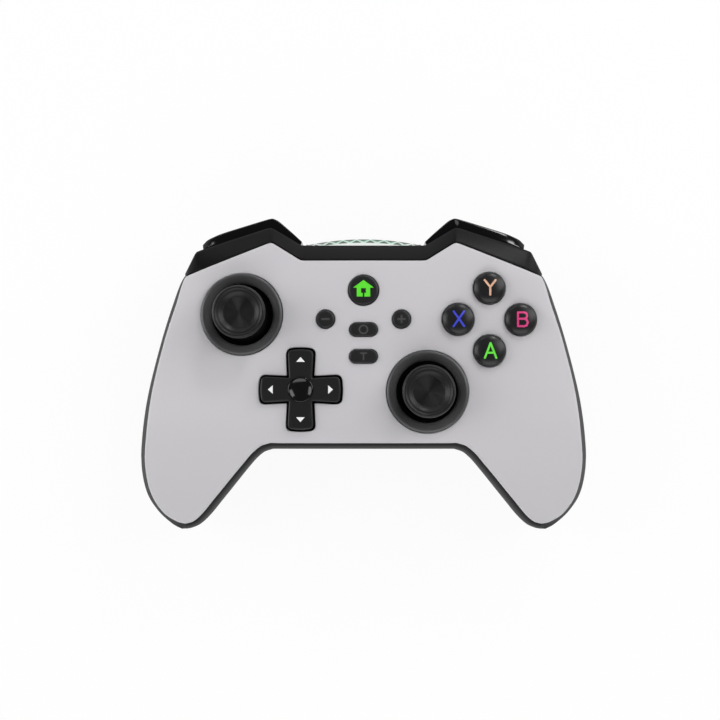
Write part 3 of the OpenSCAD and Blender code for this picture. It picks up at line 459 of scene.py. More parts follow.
def inset(loop, distance):
    """Anticlockwise loop moved inward by a distance, or outward where it is negative."""
    out = []
    for i, p in enumerate(loop):
        a = (p - loop[i - 1]).xy.normalized()
        b = (loop[(i + 1) % len(loop)] - p).xy.normalized()
        n = Vector((-a.y - b.y, a.x + b.x)).normalized()
        reach = distance / max(0.5, n.dot(Vector((-a.y, a.x))))
        moved = p.copy()
        moved.x += n.x * reach
        moved.y += n.y * reach
        out.append(moved)
    return drawn_together(loop, out)


def circle(centre, radius, count=72):
    """Anticlockwise circle."""
    turns = (2 * math.pi * k / count for k in range(count))
    return [Vector((centre[0] + radius * math.cos(a), centre[1] + radius * math.sin(a))) for a in turns]


def pill(centre, length, width, count=20):
    """Anticlockwise outline with two round ends."""
    r = width / 2
    out = []
    for side, start in ((1, -90), (-1, 90)):
        for a in steps(start, start + 180, count):
            x = centre[0] + side * (length / 2 - r) + r * math.cos(math.radians(a))
            out.append(Vector((x, centre[1] + r * math.sin(math.radians(a)))))
    return out


def rectangle(low, high):
    """Anticlockwise corners of a rectangle."""
    return [Vector(low), Vector((high[0], low[1])), Vector(high), Vector((low[0], high[1]))]


def contains(loop, p):
    """True where a point lies inside a loop."""
    inside = False
    q = loop[-1]
    for r in loop:
        if (r[1] > p[1]) != (q[1] > p[1]) and p[0] < (q[0] - r[0]) * (p[1] - r[1]) / (q[1] - r[1]) + r[0]:
            inside = not inside
        q = r
    return inside


def triangles(loops, holes, spacing):
    """Flat points and triangles that fill loops less their holes."""
    edges, points, outlines = [], [], []
    for loop in loops + holes:
        start, count = len(points), len(loop)
        points.extend(Vector(p[:2]) for p in loop)
        edges.extend((start + k, start + (k + 1) % count) for k in range(count))
        area = sum(a[0] * b[1] - b[0] * a[1] for a, b in zip(loop, [*loop[1:], loop[0]]))
        outlines.append([start + k for k in (range(count) if area > 0 else reversed(range(count)))])
    marks = [q for loop in loops + holes for q in fine([Vector(p[:2]) for p in loop], spacing / 2)]
    near = KDTree(len(marks))
    for i, q in enumerate(marks):
        near.insert((q.x, q.y, 0), i)
    near.balance()

    def kept(p):
        return any(contains(l, p) for l in loops) and not any(contains(h, p) for h in holes)

    low = Vector((min(p.x for p in points), min(p.y for p in points)))
    high = Vector((max(p.x for p in points), max(p.y for p in points)))
    grid = []
    for j in range(int((high.y - low.y) / spacing) + 1):
        for i in range(int((high.x - low.x) / spacing) + 1):
            p = low + Vector(((i + 0.5 * (j % 2)) * spacing, j * spacing))
            if near.find((p.x, p.y, 0))[2] > spacing * CLEAR and kept(p):
                grid.append(p)
    flat, _, made, _, _, within = delaunay_2d_cdt(points + grid, edges, outlines, 0, 1e-6)
    solid = set(range(len(loops)))
    faces = [tuple(f) for f, inside in zip(made, within) if inside and solid.issuperset(inside)]
    return [Vector(p) for p in flat], faces


class Shape:
    """Vertices in millimetres and faces, gathered run by run and welded when a mesh is made."""

    def __init__(self):
        self.verts = []
        self.faces = []

    def add(self, verts, faces):
        """Adds vertices and the faces that use them."""
        start = len(self.verts)
        self.verts.extend(verts)
        self.faces.extend(tuple(start + k for k in f) for f in faces)

    def rows(self, rows):
        """Joins rows of equal length with quads; each row closes on itself."""
        width = len(rows[0])
        faces = []
        for i in range(len(rows) - 1):
            for j in range(width):
                k = (j + 1) % width
                faces.append((i * width + j, i * width + k, (i + 1) * width + k, (i + 1) * width + j))
        self.add([v for row in rows for v in row], faces)

    def sheet(self, loops, holes, place, spacing):
        """Fills loops less their holes with triangles put in place point by point."""
        flat, faces = triangles(loops, holes, spacing)
        self.add([place(p) for p in flat], faces)

    def flat(self, loops, holes, z, spacing):
        """Fills loops less their holes at one height."""
        self.sheet(loops, holes, lambda p: at(p, z), spacing)

    def wall(self, loop, *heights):
        """Upright wall over a loop."""
        self.rows([[at(p, z) for p in loop] for z in heights])

    def strip(self, rows):
        """Joins the rows of a bent strip and closes both its ends."""
        self.rows(rows)
        self.cap(rows[0])
        self.cap(rows[-1])

    def cap(self, row):
        """Closes the end of a bent strip by joining the two halves of its row."""
        count = len(row)
        faces = [(k, k + 1, count - 2 - k, count - 1 - k) for k in range(count // 2 - 1)]
        if count % 2:
            faces.append((count // 2 - 1, count // 2, count // 2 + 1))
        self.add(row, faces)

    def prism(self, loop, low, high, place=free):
        """Closed straight solid over a convex loop."""
        ends = [[place(p, z) for p in loop] for z in (low, high)]
        self.rows(ends)
        for end in ends:
            self.add(end, [tuple(range(len(end)))])


def new_object(name, shape):
    """Object with a welded closed mesh."""
    mesh = bpy.data.meshes.new(name)
    mesh.from_pydata([Vector(v) * MM for v in shape.verts], [], shape.faces)
    edit = bmesh.new()
    edit.from_mesh(mesh)
    bmesh.ops.remove_doubles(edit, verts=edit.verts, dist=WELD)
    bmesh.ops.delete(edit, geom=[v for v in edit.verts if not v.link_faces], context="VERTS")
    bmesh.ops.recalc_face_normals(edit, faces=edit.faces)
    edit.to_mesh(mesh)
    edit.free()
    made = bpy.data.objects.new(name, mesh)
    bpy.context.scene.collection.objects.link(made)
    return made


def shade(piece, sharp):
    """Smooth shading with edges above an angle left sharp."""
    piece.data.shade_smooth()
    piece.data.set_sharp_from_angle(angle=math.radians(sharp))


def make_piece(name, shape, material, body, nodes=(), sharp=SHARP):
    """Smooth-shaded piece that rides on a body and stands for CAD nodes."""
    piece = new_object(name, shape)
    shade(piece, sharp)
    piece.data.materials.append(material)
    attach(piece, body)
    if nodes:
        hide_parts(*nodes)
    return piece


def combine(piece, tool, operation):
    """Adds, cuts or trims a piece by another object, which is used up."""
    change = piece.modifiers.new("combine", "BOOLEAN")
    change.object = tool
    change.operation = operation
    change.solver = "EXACT"
    graph = bpy.context.evaluated_depsgraph_get()
    result = bpy.data.meshes.new_from_object(piece.evaluated_get(graph))
    piece.modifiers.clear()
    before, used = piece.data, tool.data
    name = before.name
    piece.data = result
    bpy.data.objects.remove(tool)
    bpy.data.meshes.remove(before)
    bpy.data.meshes.remove(used)
    result.name = name


def turned(profile, centre, count=96):
    """Shape of revolution from a profile of radius and height about a point of the plan."""
    shape = Shape()
    turns = [2 * math.pi * k / count for k in range(count)]
    rows = []
    for r, z in profile:
        rows.append([Vector((centre[0] + r * math.cos(a), centre[1] + r * math.sin(a), z)) for a in turns])
    shape.rows(rows)
    return shape


def soft(points, cut, parts=4, least_turn=12):
    """Profile with its corners rounded."""
    path = round_corners([Vector(p) for p in points], cut, False, least_turn, parts)
    return [(p.x, p.y) for p in path]


def arc(radius, start, stop, count):
    """Profile points on a circle about the origin, between two angles in degrees."""
    turns = [math.radians(a) for a in steps(start, stop, count)]
    return [(radius * math.cos(a), radius * math.sin(a)) for a in turns]


def stroke(path, width):
    """Outline loops of a line of constant width with round ends."""
    r = width / 2
    loops = []
    for a, b in zip(path, path[1:]):
        a, b = Vector(a), Vector(b)
        along = math.atan2(b.y - a.y, b.x - a.x)
        loop = []
        for end, start in ((b, along - math.pi / 2), (a, along + math.pi / 2)):
            for g in steps(start, start + math.pi, 8):
                loop.append(Vector((end.x + r * math.cos(g), end.y + r * math.sin(g))))
        loops.append(loop)
    return loops


def inlay(loops, holes, place, lift, depth, spacing):
    """Thin closed plate that follows a surface and stands a little proud of it."""
    longest = spacing * 0.55
    loops, holes = ([fine([Vector(p) for p in l], longest) for l in group] for group in (loops, holes))
    flat, faces = triangles(loops, holes, spacing)
    count = len(flat)
    edges = {(f[i - 1], f[i]) for f in faces for i in range(len(f))}
    under = [tuple(count + k for k in reversed(f)) for f in faces]
    walls = [(b, a, count + a, count + b) for a, b in edges if (b, a) not in edges]
    shape = Shape()
    shape.add([place(p, lift) for p in flat] + [place(p, -depth) for p in flat], faces + under + walls)
    return shape


def add_node(tree, kind, operation=None, **inputs):
    """New shader node with its operation and the values of its inputs."""
    node = tree.nodes.new("ShaderNode" + kind)
    if operation:
        node.operation = operation
    for name, value in inputs.items():
        node.inputs[name.replace("_", " ")].default_value = value
    return node


def wire(tree, *links):
    """Links written as node, output, node, input."""
    for start, output, end, entry in links:
        tree.links.new(start.outputs[output], end.inputs[entry])


def finish(kind, colour, suffix="", **sockets):
    """Moulded surface: a fine grain in the bump and roughness, and a faint drift of tone."""
    roughness, grain, relief, variation, specular = FINISHES[kind]
    material = bpy.data.materials.new(kind + suffix)
    material.use_nodes = True
    tree = material.node_tree
    shader = tree.nodes["Principled BSDF"]
    place = add_node(tree, "TexCoord")
    place.name = "Place"
    grains = add_node(tree, "TexNoise", Scale=1 / (grain * MM), Detail=3)
    drift = add_node(tree, "TexNoise", Scale=45)
    tone = add_node(tree, "Mix")
    tone.name = "Tone"
    tone.data_type = "RGBA"
    tone.inputs["A"].default_value = (*(c * (1 - variation) for c in colour), 1)
    tone.inputs["B"].default_value = (*(min(1, c * (1 + variation)) for c in colour), 1)
    gloss = add_node(tree, "MapRange", To_Min=max(0.02, roughness - 0.05), To_Max=min(1, roughness + 0.05))
    bump = add_node(tree, "Bump", Strength=0.6, Distance=relief * MM)
    wire(
        tree, (place, "Object", grains, "Vector"), (place, "Object", drift, "Vector"),
        (drift, "Fac", tone, "Factor"), (tone, "Result", shader, "Base Color"),
        (grains, "Fac", gloss, "Value"), (gloss, "Result", shader, "Roughness"),
        (grains, "Fac", bump, "Height"), (bump, "Normal", shader, "Normal"),
    )
    shader.inputs["Specular IOR Level"].default_value = specular
    for socket, value in sockets.items():
        shader.inputs[socket].default_value = value
    return material


def spun(kind, colour):
    """Finish turned in fine circles, whose sheen fans out from the middle."""
    material = finish(kind, colour, Anisotropic=0.9)
    tree = material.node_tree
    tangent = add_node(tree, "Tangent")
    tangent.direction_type = "RADIAL"
    tangent.axis = "Z"
    wire(tree, (tangent, "Tangent", tree.nodes["Principled BSDF"], "Tangent"))
    return material


def length_property(name, description, value):
    """Length setting with its default in millimetres."""
    return FloatProperty(name=name, description=description, default=value * MM, unit="LENGTH")


class GamepadSizes(bpy.types.PropertyGroup):
    """Sizes of the finished surfaces."""

    edge_radius: length_property("Face edge", "Rounding of the faceplate's edge", 0.7)
    hole_radius: length_property("Hole edge", "Rounding of the holes in the faceplate", 0.3)
    letter_stroke: length_property("Letter stroke", "Line width of the button letters", 0.68)
    small_stroke: length_property("Small stroke", "Line width of the small button marks", 0.5)
    mark_lift: length_property("Mark height", "How far printed marks stand proud", 0.03)
    face_spacing: length_property("Face spacing", "Distance between points on the faceplate", 2.0)


def colour_property(name, description, value):
    """Colour setting with its default in linear light."""
    return FloatVectorProperty(
        name=name, description=description, default=value, subtype="COLOR", min=0, max=1)


class GamepadColours(bpy.types.PropertyGroup):
    """Colours of the finished surfaces."""

    faceplate: colour_property("Faceplate", "Warm light grey front", (0.565, 0.552, 0.574))
    housing: colour_property("Housing", "Black back half", (0.01, 0.01, 0.011))
    band: colour_property("Top band", "Satin black trim", (0.003, 0.003, 0.0032))
    gloss: colour_property("Gloss", "Polished black of bumpers and disc", (0.003, 0.003, 0.0035))
    trigger: colour_property("Trigger", "Black triggers", (0.01, 0.01, 0.011))
    ring: colour_property("Stick ring", "Dark grey bezel", (0.056, 0.056, 0.058))
    cap: colour_property("Stick cap", "Soft black cap", (0.007, 0.007, 0.0075))
    button: colour_property("Button", "Dark grey buttons", (0.011, 0.011, 0.012))
    cross: colour_property("Direction pad", "Dark cross", (0.009, 0.009, 0.0092))
    arrow: colour_property("Arrows", "White arrows on the cross", (0.85, 0.85, 0.85))
    small_mark: colour_property("Small marks", "Faint grey marks", (0.055, 0.055, 0.056))
    letter_y: colour_property("Y letter", "Peach", (0.70, 0.41, 0.28))
    letter_x: colour_property("X letter", "Blue", (0.045, 0.06, 0.58))
    letter_b: colour_property("B letter", "Pink", (0.65, 0.045, 0.2))
    letter_a: colour_property("A letter", "Green", (0.13, 0.75, 0.055))
    # Green of the home mark is painted glow of its lit icon
    home_mark: colour_property("Home mark", "Lit green", (0.11, 0.74, 0.03))
    # The strip's mint middle is painted glow of the lit strip, fading to the pale colour of its ends
    window: colour_property("Light window", "Mint in the middle of the strip", (0.36, 0.64, 0.48))
    window_end: colour_property("Light window ends", "Pale ends of the strip", (0.72, 0.76, 0.73))
    # Dark green of the triangles is painted glow over their print, fading to grey at the ends
    window_mark: colour_property("Window triangles", "Dark green", (0.006, 0.035, 0.02))
    window_mark_end: colour_property("Window triangles, ends", "Grey at the ends", (0.12, 0.125, 0.12))


def face_outline():
    """Anticlockwise outline of the faceplate; the third number is the extra depth of its skirt."""
    top, grip = SMOOTH_FROM, LAST - SMOOTH_FROM
    right = []
    for u in steps(0, top, 8 * top) + steps(top, LAST, 10 * grip)[1:]:
        right.append(Vector((*station(FACE_OUTER, u), station(SKIRT_MORE, u))))
    for u in reversed(steps(0, LAST, 8 * LAST)):
        right.append(Vector((*station(FACE_INNER, u), 0)))
    left = [Vector((-p.x, p.y, p.z)) for p in reversed(right[1:-1])]
    return list(reversed(right + left))


def cross_outline(gap, corner, root=0.45):
    """Anticlockwise outline of the direction pad's flared arms, grown by a gap."""
    a, b, r = 3.75 + gap, 4.22 + gap, 12.9 + gap
    path = []
    for q in range(4):
        turn = Matrix.Rotation(math.pi / 2 * q, 2)
        end = [(r - 0.15, -b), (r + 0.25, 0), (r - 0.15, b)]
        path.append((turn @ Vector((a, -a)), root))
        path += [(turn @ Vector(p), corner) for p in end]
    out = []
    for i, (p, cut) in enumerate(path):
        before, after = path[i - 1][0] - p, path[(i + 1) % len(path)][0] - p
        start, end = p + before.normalized() * cut, p + after.normalized() * cut
        out.extend(start.lerp(p, t).lerp(p.lerp(end, t), t) + DPAD for t in steps(0, 1, 8))
    return fine(out, 1.0)


def face_holes():
    """Outlines of the openings in the faceplate."""
    holes = [circle(p, RING_R + FIT, 96) for p in STICKS.values()]
    holes += [circle(p, ACTION_R + BUTTON_GAP) for p in ACTION_BUTTONS.values()]
    holes.append(circle(node_centre("home_button"), HOME_R + BUTTON_GAP))
    holes += [circle(node_centre(n), MENU_R + BUTTON_GAP, 48) for n in ("minus_button", "plus_button")]
    for n in ("capture_button", "turbo_button"):
        holes.append(pill(node_centre(n), PILL_L + 2 * BUTTON_GAP, PILL_W + 2 * BUTTON_GAP))
    holes.append(cross_outline(0.7, 2.1))
    return holes


def under_face(p):
    """Point of the faceplate's lower surface."""
    return at(p, face_height(p) - WALL)


class GAMEPAD_OT_faceplate(bpy.types.Operator):
    """Grey front with rounded edges, its skirt and the openings for the controls"""

    bl_idname = "gamepad.faceplate"
    bl_label = "Faceplate"

    def execute(self, context):
        sizes, colours = context.scene.gamepad_sizes, context.scene.gamepad_colours
        edge, hole_edge = sizes.edge_radius / MM, sizes.hole_radius / MM
        spacing = sizes.face_spacing / MM
        outline, holes = face_outline(), face_holes()
        shape = Shape()
        bends = [(1 - math.sin(g), 1 - math.cos(g)) for g in steps(0, math.pi / 2, 5)]
        rows = []
        for across, down in bends:
            rows.append([at(p, face_height(p) - edge * down) for p in inset(outline, edge * across)])
        inner = inset(outline, INSET)
        rim = [face_height(p) - SKIRT - p.z for p in outline]
        rows.append([at(p, z) for p, z in zip(outline, rim)])
        rows.append([at(p, z) for p, z in zip(inner, rim)])
        rows.append([under_face(p) for p in inner])
        shape.rows(rows)
        for hole in holes:
            rows = []
            for across, down in bends:
                loop = inset(hole, -hole_edge * across)
                rows.append([at(p, face_height(p) - hole_edge * down) for p in loop])
            rows.append([under_face(p) for p in hole])
            shape.rows(rows)
        top_holes = [inset(h, -hole_edge) for h in holes]
        shape.sheet([inset(outline, edge)], top_holes, lambda p: at(p, face_height(p)), spacing)
        shape.sheet([inner], holes, under_face, spacing * 2)
        grey = finish("faceplate_grain", colours.faceplate)
        make_piece("faceplate", shape, grey, "housing", ["front_shell"])
        return {"FINISHED"}


def inside_station(u):
    """Station of the inner wall, which stops short of the grip's tip."""
    v, slow = abs(u), LAST - TIP_STATIONS
    if v >= slow:
        v = slow + (v - slow) * TIP_PACE
    return math.copysign(v, u)


def toward(a, b, distance):
    """Point at a distance from the end of a chord."""
    return a.lerp(b, min(distance / (b - a).length, 0.35))


def rear_section(u, depth):
    """Section of the back half at a station, from the outer rim under the belly to the inner rim."""
    v = inside_station(u) if depth else u
    k = depth * INSET / WALL
    a0, b0, c0, e0 = (station(line, v) for line in (FACE_OUTER, FACE_INNER, BELLY_OUTER, BELLY_INNER))
    a, b, c, e = toward(a0, b0, k), toward(b0, a0, k), toward(c0, e0, k), toward(e0, c0, k)
    za = face_height(station(FACE_OUTER, u)) - SKIRT - station(SKIRT_MORE, u) - PART_GAP
    zb = face_height(station(FACE_INNER, u)) - SKIRT - PART_GAP
    low = station(FLOOR_Z, v) + depth
    rim = face_height(a0) - SKIRT - station(SKIRT_MORE, v)
    slant = max(0, min(1, (abs(v) - SMOOTH_FROM + 1) / 2))
    zc = rim - lerp(BELLY_DROP, SIDE_DROP * (rim - low), slant)
    ze = face_height(b0) - SKIRT - BELLY_DROP
    turns = steps(0, 1, 10)[:-1]
    bend = [(math.sin(q * math.pi / 2), 1 - math.cos(q * math.pi / 2)) for q in turns]
    side = [(lerp(s, q, slant), lerp(w, q, slant)) for q, (s, w) in zip(turns, bend)]
    points = [at(a.lerp(c, s), lerp(za, zc, w)) for s, w in side]
    for g in steps(0, math.pi, 36):
        s, t = math.cos(g), abs(math.sin(g))
        share = (1 - math.copysign(abs(s) ** (2 / BELLY_POWER), s)) / 2
        points.append(at(c.lerp(e, share), lerp(lerp(zc, ze, share), low, t ** (2 / BELLY_POWER))))
    points += [at(b.lerp(e, s), lerp(zb, ze, w)) for s, w in reversed(bend)]
    return points


def hinge_frame(side):
    """Matrix from the trigger's own frame, with its hinge along X, to the gamepad's frame."""
    mirror = Matrix.Diagonal((side, 1, 1, 1))
    return mirror @ Matrix.Translation(TRIGGER_AT) @ Matrix.Rotation(-TRIGGER_SKEW, 4, "Z")


def along_hinge(p):
    """Distance of a point of the plan along the right trigger's hinge."""
    away = Vector(p) - TRIGGER_AT.xy
    return away.x * math.cos(TRIGGER_SKEW) - away.y * math.sin(TRIGGER_SKEW)


class GAMEPAD_OT_rear_housing(bpy.types.Operator):
    """Black back half with the grips, the shoulder bays, the socket slot and the screw wells"""

    bl_idname = "gamepad.rear_housing"
    bl_label = "Rear housing"

    def execute(self, context):
        colours = context.scene.gamepad_colours
        half = steps(0, SMOOTH_FROM, 6 * SMOOTH_FROM)
        half += steps(SMOOTH_FROM, LAST, 8 * (LAST - SMOOTH_FROM))[1:]
        line = [-u for u in reversed(half[1:])] + half
        outer = [rear_section(u, 0) for u in line]
        inner = [rear_section(u, WALL) for u in line]
        shape = Shape()
        shape.rows([o + list(reversed(i)) for o, i in zip(outer, inner)])
        for end in (outer[0], outer[-1], inner[0], inner[-1]):
            shape.cap(end)
        for o, i in ((outer[0], inner[0]), (outer[-1], inner[-1])):
            shape.add([o[0], i[0], i[-1], o[-1]], [(0, 1, 2, 3)])
        black = finish("housing_grain", colours.housing)
        piece = make_piece("rear_housing", shape, black, "housing", ["rear_shell"])
        core = Shape()
        core.strip([rear_section(u, WALL / 2) for u in line])
        posts = Shape()
        for x, y, z in SCREWS:
            posts.prism(circle((x, y), BOSS_R, SCREW_SIDES), z - BOSS_BELOW, z + BOSS_ABOVE)
        bosses = new_object("bosses", posts)
        combine(bosses, new_object("core", core), "INTERSECT")
        combine(piece, bosses, "UNION")
        for cutter in self.cutters():
            combine(piece, new_object("cutter", cutter), "DIFFERENCE")
        edit = bmesh.new()
        edit.from_mesh(piece.data)
        bmesh.ops.dissolve_degenerate(edit, dist=SLIVER, edges=edit.edges)
        edit.to_mesh(piece.data)
        edit.free()
        shade(piece, SHARP)
        return {"FINISHED"}

    @staticmethod
    def cutters():
        """Shapes taken out of the back half."""
        first, last = along_hinge(BUMPER_OUTER[0]) - 0.9, along_hinge(BUMPER_OUTER[-1]) + 0.5
        bay = TRIGGER_W / 2 + 0.7
        shoulder, trigger_bay, lugs, hub = Shape(), Shape(), Shape(), Shape()
        for side in (1, -1):
            turn = hinge_frame(side)

            def place(p, z):
                return turn @ Vector((p[0], p[1], z))

            def along(p, x):
                return turn @ Vector((x, p[0], p[1]))

            for cut, left, right, ((front, back), heights) in (
                (shoulder, first, last, SHOULDER_ROOM),
                (trigger_bay, -bay, bay, TRIGGER_ROOM),
                (lugs, -LUG_REACH, LUG_REACH, LUG_ROOM),
            ):
                cut.prism(rectangle((left, front), (right, back)), *heights, place)
            hub.prism(circle((0, 0), HUB_R, 48), -bay - 0.05, bay + 0.05, along)
        window = Shape()
        window.prism(rectangle((-28, 33), (28, 63)), WINDOW_LOW - 0.3, WINDOW_LOW + 20)
        socket = Shape()
        low, high = (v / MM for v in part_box("usb_socket"))
        slot = pill((0, (low.z + high.z) / 2), high.x - low.x + 0.5, high.z - low.z + 0.5)
        socket.prism(slot, 37, 52, lambda p, y: Vector((p[0], y, p[1])))
        wells = Shape()
        for x, y, z in SCREWS:
            wells.prism(circle((x, y), WELL_R, SCREW_SIDES), z - WELL_DEPTH, z)
        pad = Shape()
        pad.prism(round_corners(rectangle((-30, -9), (30, 25)), 3), FLOOR_Z[0] - 5, FLOOR_Z[0] + 0.3)
        return [shoulder, trigger_bay, lugs, hub, window, socket, wells, pad]


class GAMEPAD_OT_top_edge(bpy.types.Operator):
    """Satin trim along the top of the face and the lit strip behind it"""

    bl_idname = "gamepad.top_edge"
    bl_label = "Top edge"

    def execute(self, context):
        colours = context.scene.gamepad_colours
        rows = []
        for u in steps(-SMOOTH_FROM, SMOOTH_FROM, 16 * SMOOTH_FROM):
            f, b = station(FACE_OUTER, u), eased(BAND_OUTER, abs(u), FACE_EASE)
            b.x = math.copysign(b.x, u)
            a = f + (b - f).normalized() * 0.12
            h = face_height(a) - 0.7
            section = soft([
                (0, BAND_Z), (0, h - 0.2), (0.085, h + 0.03), (0.1, h + 0.03), (0.9, BAND_Z + 1),
                (1, BAND_Z + 0.5), (1, BAND_Z),
            ], 0.02, 2, 0)
            rows.append([at(a.lerp(b, t), z) for t, z in section])
        shape = Shape()
        shape.strip(rows)
        satin = finish("band_satin", colours.band)
        make_piece("top_band", shape, satin, "housing", ["top_band"], sharp=28)
        self.window(context)
        return {"FINISHED"}

    def window(self, context):
        """Lit strip with two staggered rows of dark triangles."""
        sizes, colours = context.scene.gamepad_sizes, context.scene.gamepad_colours
        low, r = WINDOW_LOW, WINDOW_R
        outside = [(-0.3, low), (0, low + 0.6), (-0.5, low + 3), (-1.7, low + 6), (-4, WINDOW_TOP)]
        inside = [(-6, WINDOW_TOP), (-3.6, low + 5.4), (-2.4, low + 2.4), (-2.2, low)]
        curve = [through(outside, t) for t in steps(0, len(outside) - 1, 24)]
        curve = [Vector((min(0, p.x), max(low, min(WINDOW_TOP, p.y)))) for p in curve]
        profile = curve + [Vector(p) for p in inside]

        def place(angle, p):
            return Vector(((r + p.x) * math.sin(angle), WINDOW_Y - r + (r + p.x) * math.cos(angle), p.y))

        shape = Shape()
        shape.rows([[place(a, p) for p in profile] for a in steps(-WINDOW_SPREAD, WINDOW_SPREAD, 64)])
        for angle in (-WINDOW_SPREAD, WINDOW_SPREAD):
            shape.sheet([profile], [], lambda p: place(angle, p), 1.5)
        # The mint of the strip is painted glow in its base colour, faded towards its ends and upper edge
        glow = finish("window_glow", colours.window)
        self.fade(glow, colours.window_end)
        make_piece("light_window", shape, glow, "housing", ["light_window"])
        rise = [(-p.x, p.y) for p in curve if p.y >= low + 0.6]

        def on_strip(p, lift):
            return place(p.x / r, Vector((p.y + lift, table_value(rise, -p.y) + lift / 2)))

        loops = [[Vector((k * PITCH + x, y)) for x, y in LOWER_TRIANGLE] for k in range(-4, 5)]
        loops += [[Vector(((k + 0.5) * PITCH + x, y)) for x, y in UPPER_TRIANGLE] for k in range(-4, 4)]
        loops = [fine(l, 0.35) for l in loops]
        marks = inlay(loops, [], on_strip, 2 * sizes.mark_lift / MM, MARK_DEPTH, 0.4)
        # Printed triangles whose dark green middle is painted glow of the lit strip
        ink = finish("window_ink", colours.window_mark)
        self.fade(ink, colours.window_mark_end)
        make_piece("window_triangles", marks, ink, "housing")

    @staticmethod
    def fade(material, end_colour):
        """Fades the strip's painted glow from its middle to its ends and its upper edge."""
        tree = material.node_tree
        tone = tree.nodes["Tone"]
        tone.inputs["B"].default_value = (*end_colour, 1)
        split, size = add_node(tree, "SeparateXYZ"), add_node(tree, "Math", "ABSOLUTE")
        near, far = (d * MM for d in FADE_ALONG)
        reach = add_node(tree, "MapRange", From_Min=near, From_Max=far)
        low, high = ((WINDOW_LOW + d) * MM for d in FADE_UP)
        rise = add_node(tree, "MapRange", From_Min=low, From_Max=high)
        paler = add_node(tree, "Math", "MAXIMUM")
        wire(
            tree, (tree.nodes["Place"], "Object", split, "Vector"), (split, "X", size, 0),
            (size, 0, reach, "Value"), (split, "Z", rise, "Value"), (reach, "Result", paler, 0),
            (rise, "Result", paler, 1), (paler, 0, tone, "Factor"),
        )


class GAMEPAD_OT_bumpers(bpy.types.Operator):
    """Polished shoulder buttons that wrap over the peaks of the shoulders"""

    bl_idname = "gamepad.bumpers"
    bl_label = "Bumpers"

    def execute(self, context):
        polish = finish("bumper_polish", context.scene.gamepad_colours.gloss)
        back, under = [], []
        last = len(BUMPER_INNER) - 1
        for k, (a, b) in enumerate(zip(BUMPER_INNER, BUMPER_OUTER)):
            a, b = Vector(a), Vector(b)
            n, roof, wall = (b - a).normalized(), BUMPER_ROOF, BUMPER_WALL
            if k == last:
                n = Vector((math.sin(TRIGGER_SKEW), math.cos(TRIGGER_SKEW)))
                roof, wall = END_ROOF, END_WALL
            back.append(tuple(a - n * roof))
            under.append(tuple(b - n * wall))
        lines = (BUMPER_INNER, BUMPER_OUTER, back, under)
        for side, name in ((1, "right_bumper"), (-1, "left_bumper")):
            rows = []
            for u in steps(0, last, 12 * last):
                a, b, c, d = (eased(line, u, BUMPER_EASE) for line in lines)
                row = [(c, BUMPER_TOP)]
                row += [(a.lerp(b, p.x), BUMPER_TOP - p.y) for p in self.facet(u)]
                row += [(a.lerp(b, 0.97), BUMPER_LOW + 0.5), (a.lerp(b, 0.9), BUMPER_LOW)]
                row += [(d, BUMPER_LOW), (d, BUMPER_TOP - 6), (d.lerp(c, 0.45), BUMPER_TOP - 2.6)]
                row.append((c, BUMPER_TOP - BUMPER_WALL))
                rows.append([Vector((side * p.x, p.y, z)) for p, z in row])
            shape = Shape()
            shape.rows(rows)
            self.close(shape, rows[0])
            self.close(shape, rows[-1])
            make_piece(name, shape, polish, name, [name], sharp=40)
        return {"FINISHED"}

    @staticmethod
    def facet(u):
        """Share across and drop of the sloping top and its rounded edge at a station."""
        fall = lerp(0.1, 1.4, max(0, min(1, (u - 3) / 3)))
        brow, corner, foot = Vector((0.84, fall)), Vector((1, fall * 1.2)), Vector((1, fall + 2.4))
        flat = [Vector((0, 0)).lerp(brow, t) for t in steps(0, 1, FACET_STEPS)]
        turns = steps(0, 1, EDGE_STEPS)[1:]
        return flat + [brow.lerp(corner, t).lerp(corner.lerp(foot, t), t) for t in turns]

    @staticmethod
    def close(shape, end):
        """Closes an upright end of the strip."""
        foot = end[1 + FACET_STEPS + EDGE_STEPS]
        along = (foot - end[0]).xy.normalized()
        flat = [Vector(((p - end[0]).xy.dot(along), p.z)) for p in end]
        points, faces = triangles([flat], [], 12)
        order = [min(range(len(flat)), key=lambda k: (flat[k] - p).length) for p in points]
        shape.add([end[k] for k in order], faces)


class GAMEPAD_OT_triggers(bpy.types.Operator):
    """Analogue triggers with a hooked finger surface"""

    bl_idname = "gamepad.triggers"
    bl_label = "Triggers"

    def execute(self, context):
        satin = finish("trigger_satin", context.scene.gamepad_colours.trigger)
        w, r = TRIGGER_W / 2, 1.3
        ends = [(w - r + r * math.sin(g), r * (1 - math.cos(g))) for g in steps(0, math.pi / 2, 7)]
        middle = [(x, 0) for x in steps(-w + r, w - r, 20)[1:-1]]
        stations = [(-x, d) for x, d in reversed(ends)] + middle + ends
        for side, name in ((1, "right_trigger"), (-1, "left_trigger")):
            turn = hinge_frame(side)
            shape = Shape()
            shape.strip([[turn @ p for p in self.section(x, d)] for x, d in stations])
            make_piece(name, shape, satin, name, [name], sharp=40)
        return {"FINISHED"}

    @staticmethod
    def section(x, drawn_in):
        """Section of the trigger at a place along its hinge, drawn in near its ends."""
        tip = table_value(TRIGGER_TIP, abs(x))
        deep = TRIGGER_TIP[0][1] - TIP_FROM
        lift = 1 - (tip - TIP_FROM) / deep

        def shortened(p):
            share = max(0, (p.y - TIP_FROM) / deep)
            return Vector((x, p.x - 1.6 * share * lift, p.y - deep * share * lift))

        front, back = [], []
        for u in steps(0, len(TRIGGER_FRONT) - 1, 60):
            a, b = through(TRIGGER_FRONT, u), through(TRIGGER_BACK, u)
            t = min(0.4, drawn_in / (b - a).length)
            front.append(shortened(a.lerp(b, t)))
            back.append(shortened(b.lerp(a, t)))
        return front + back[::-1]


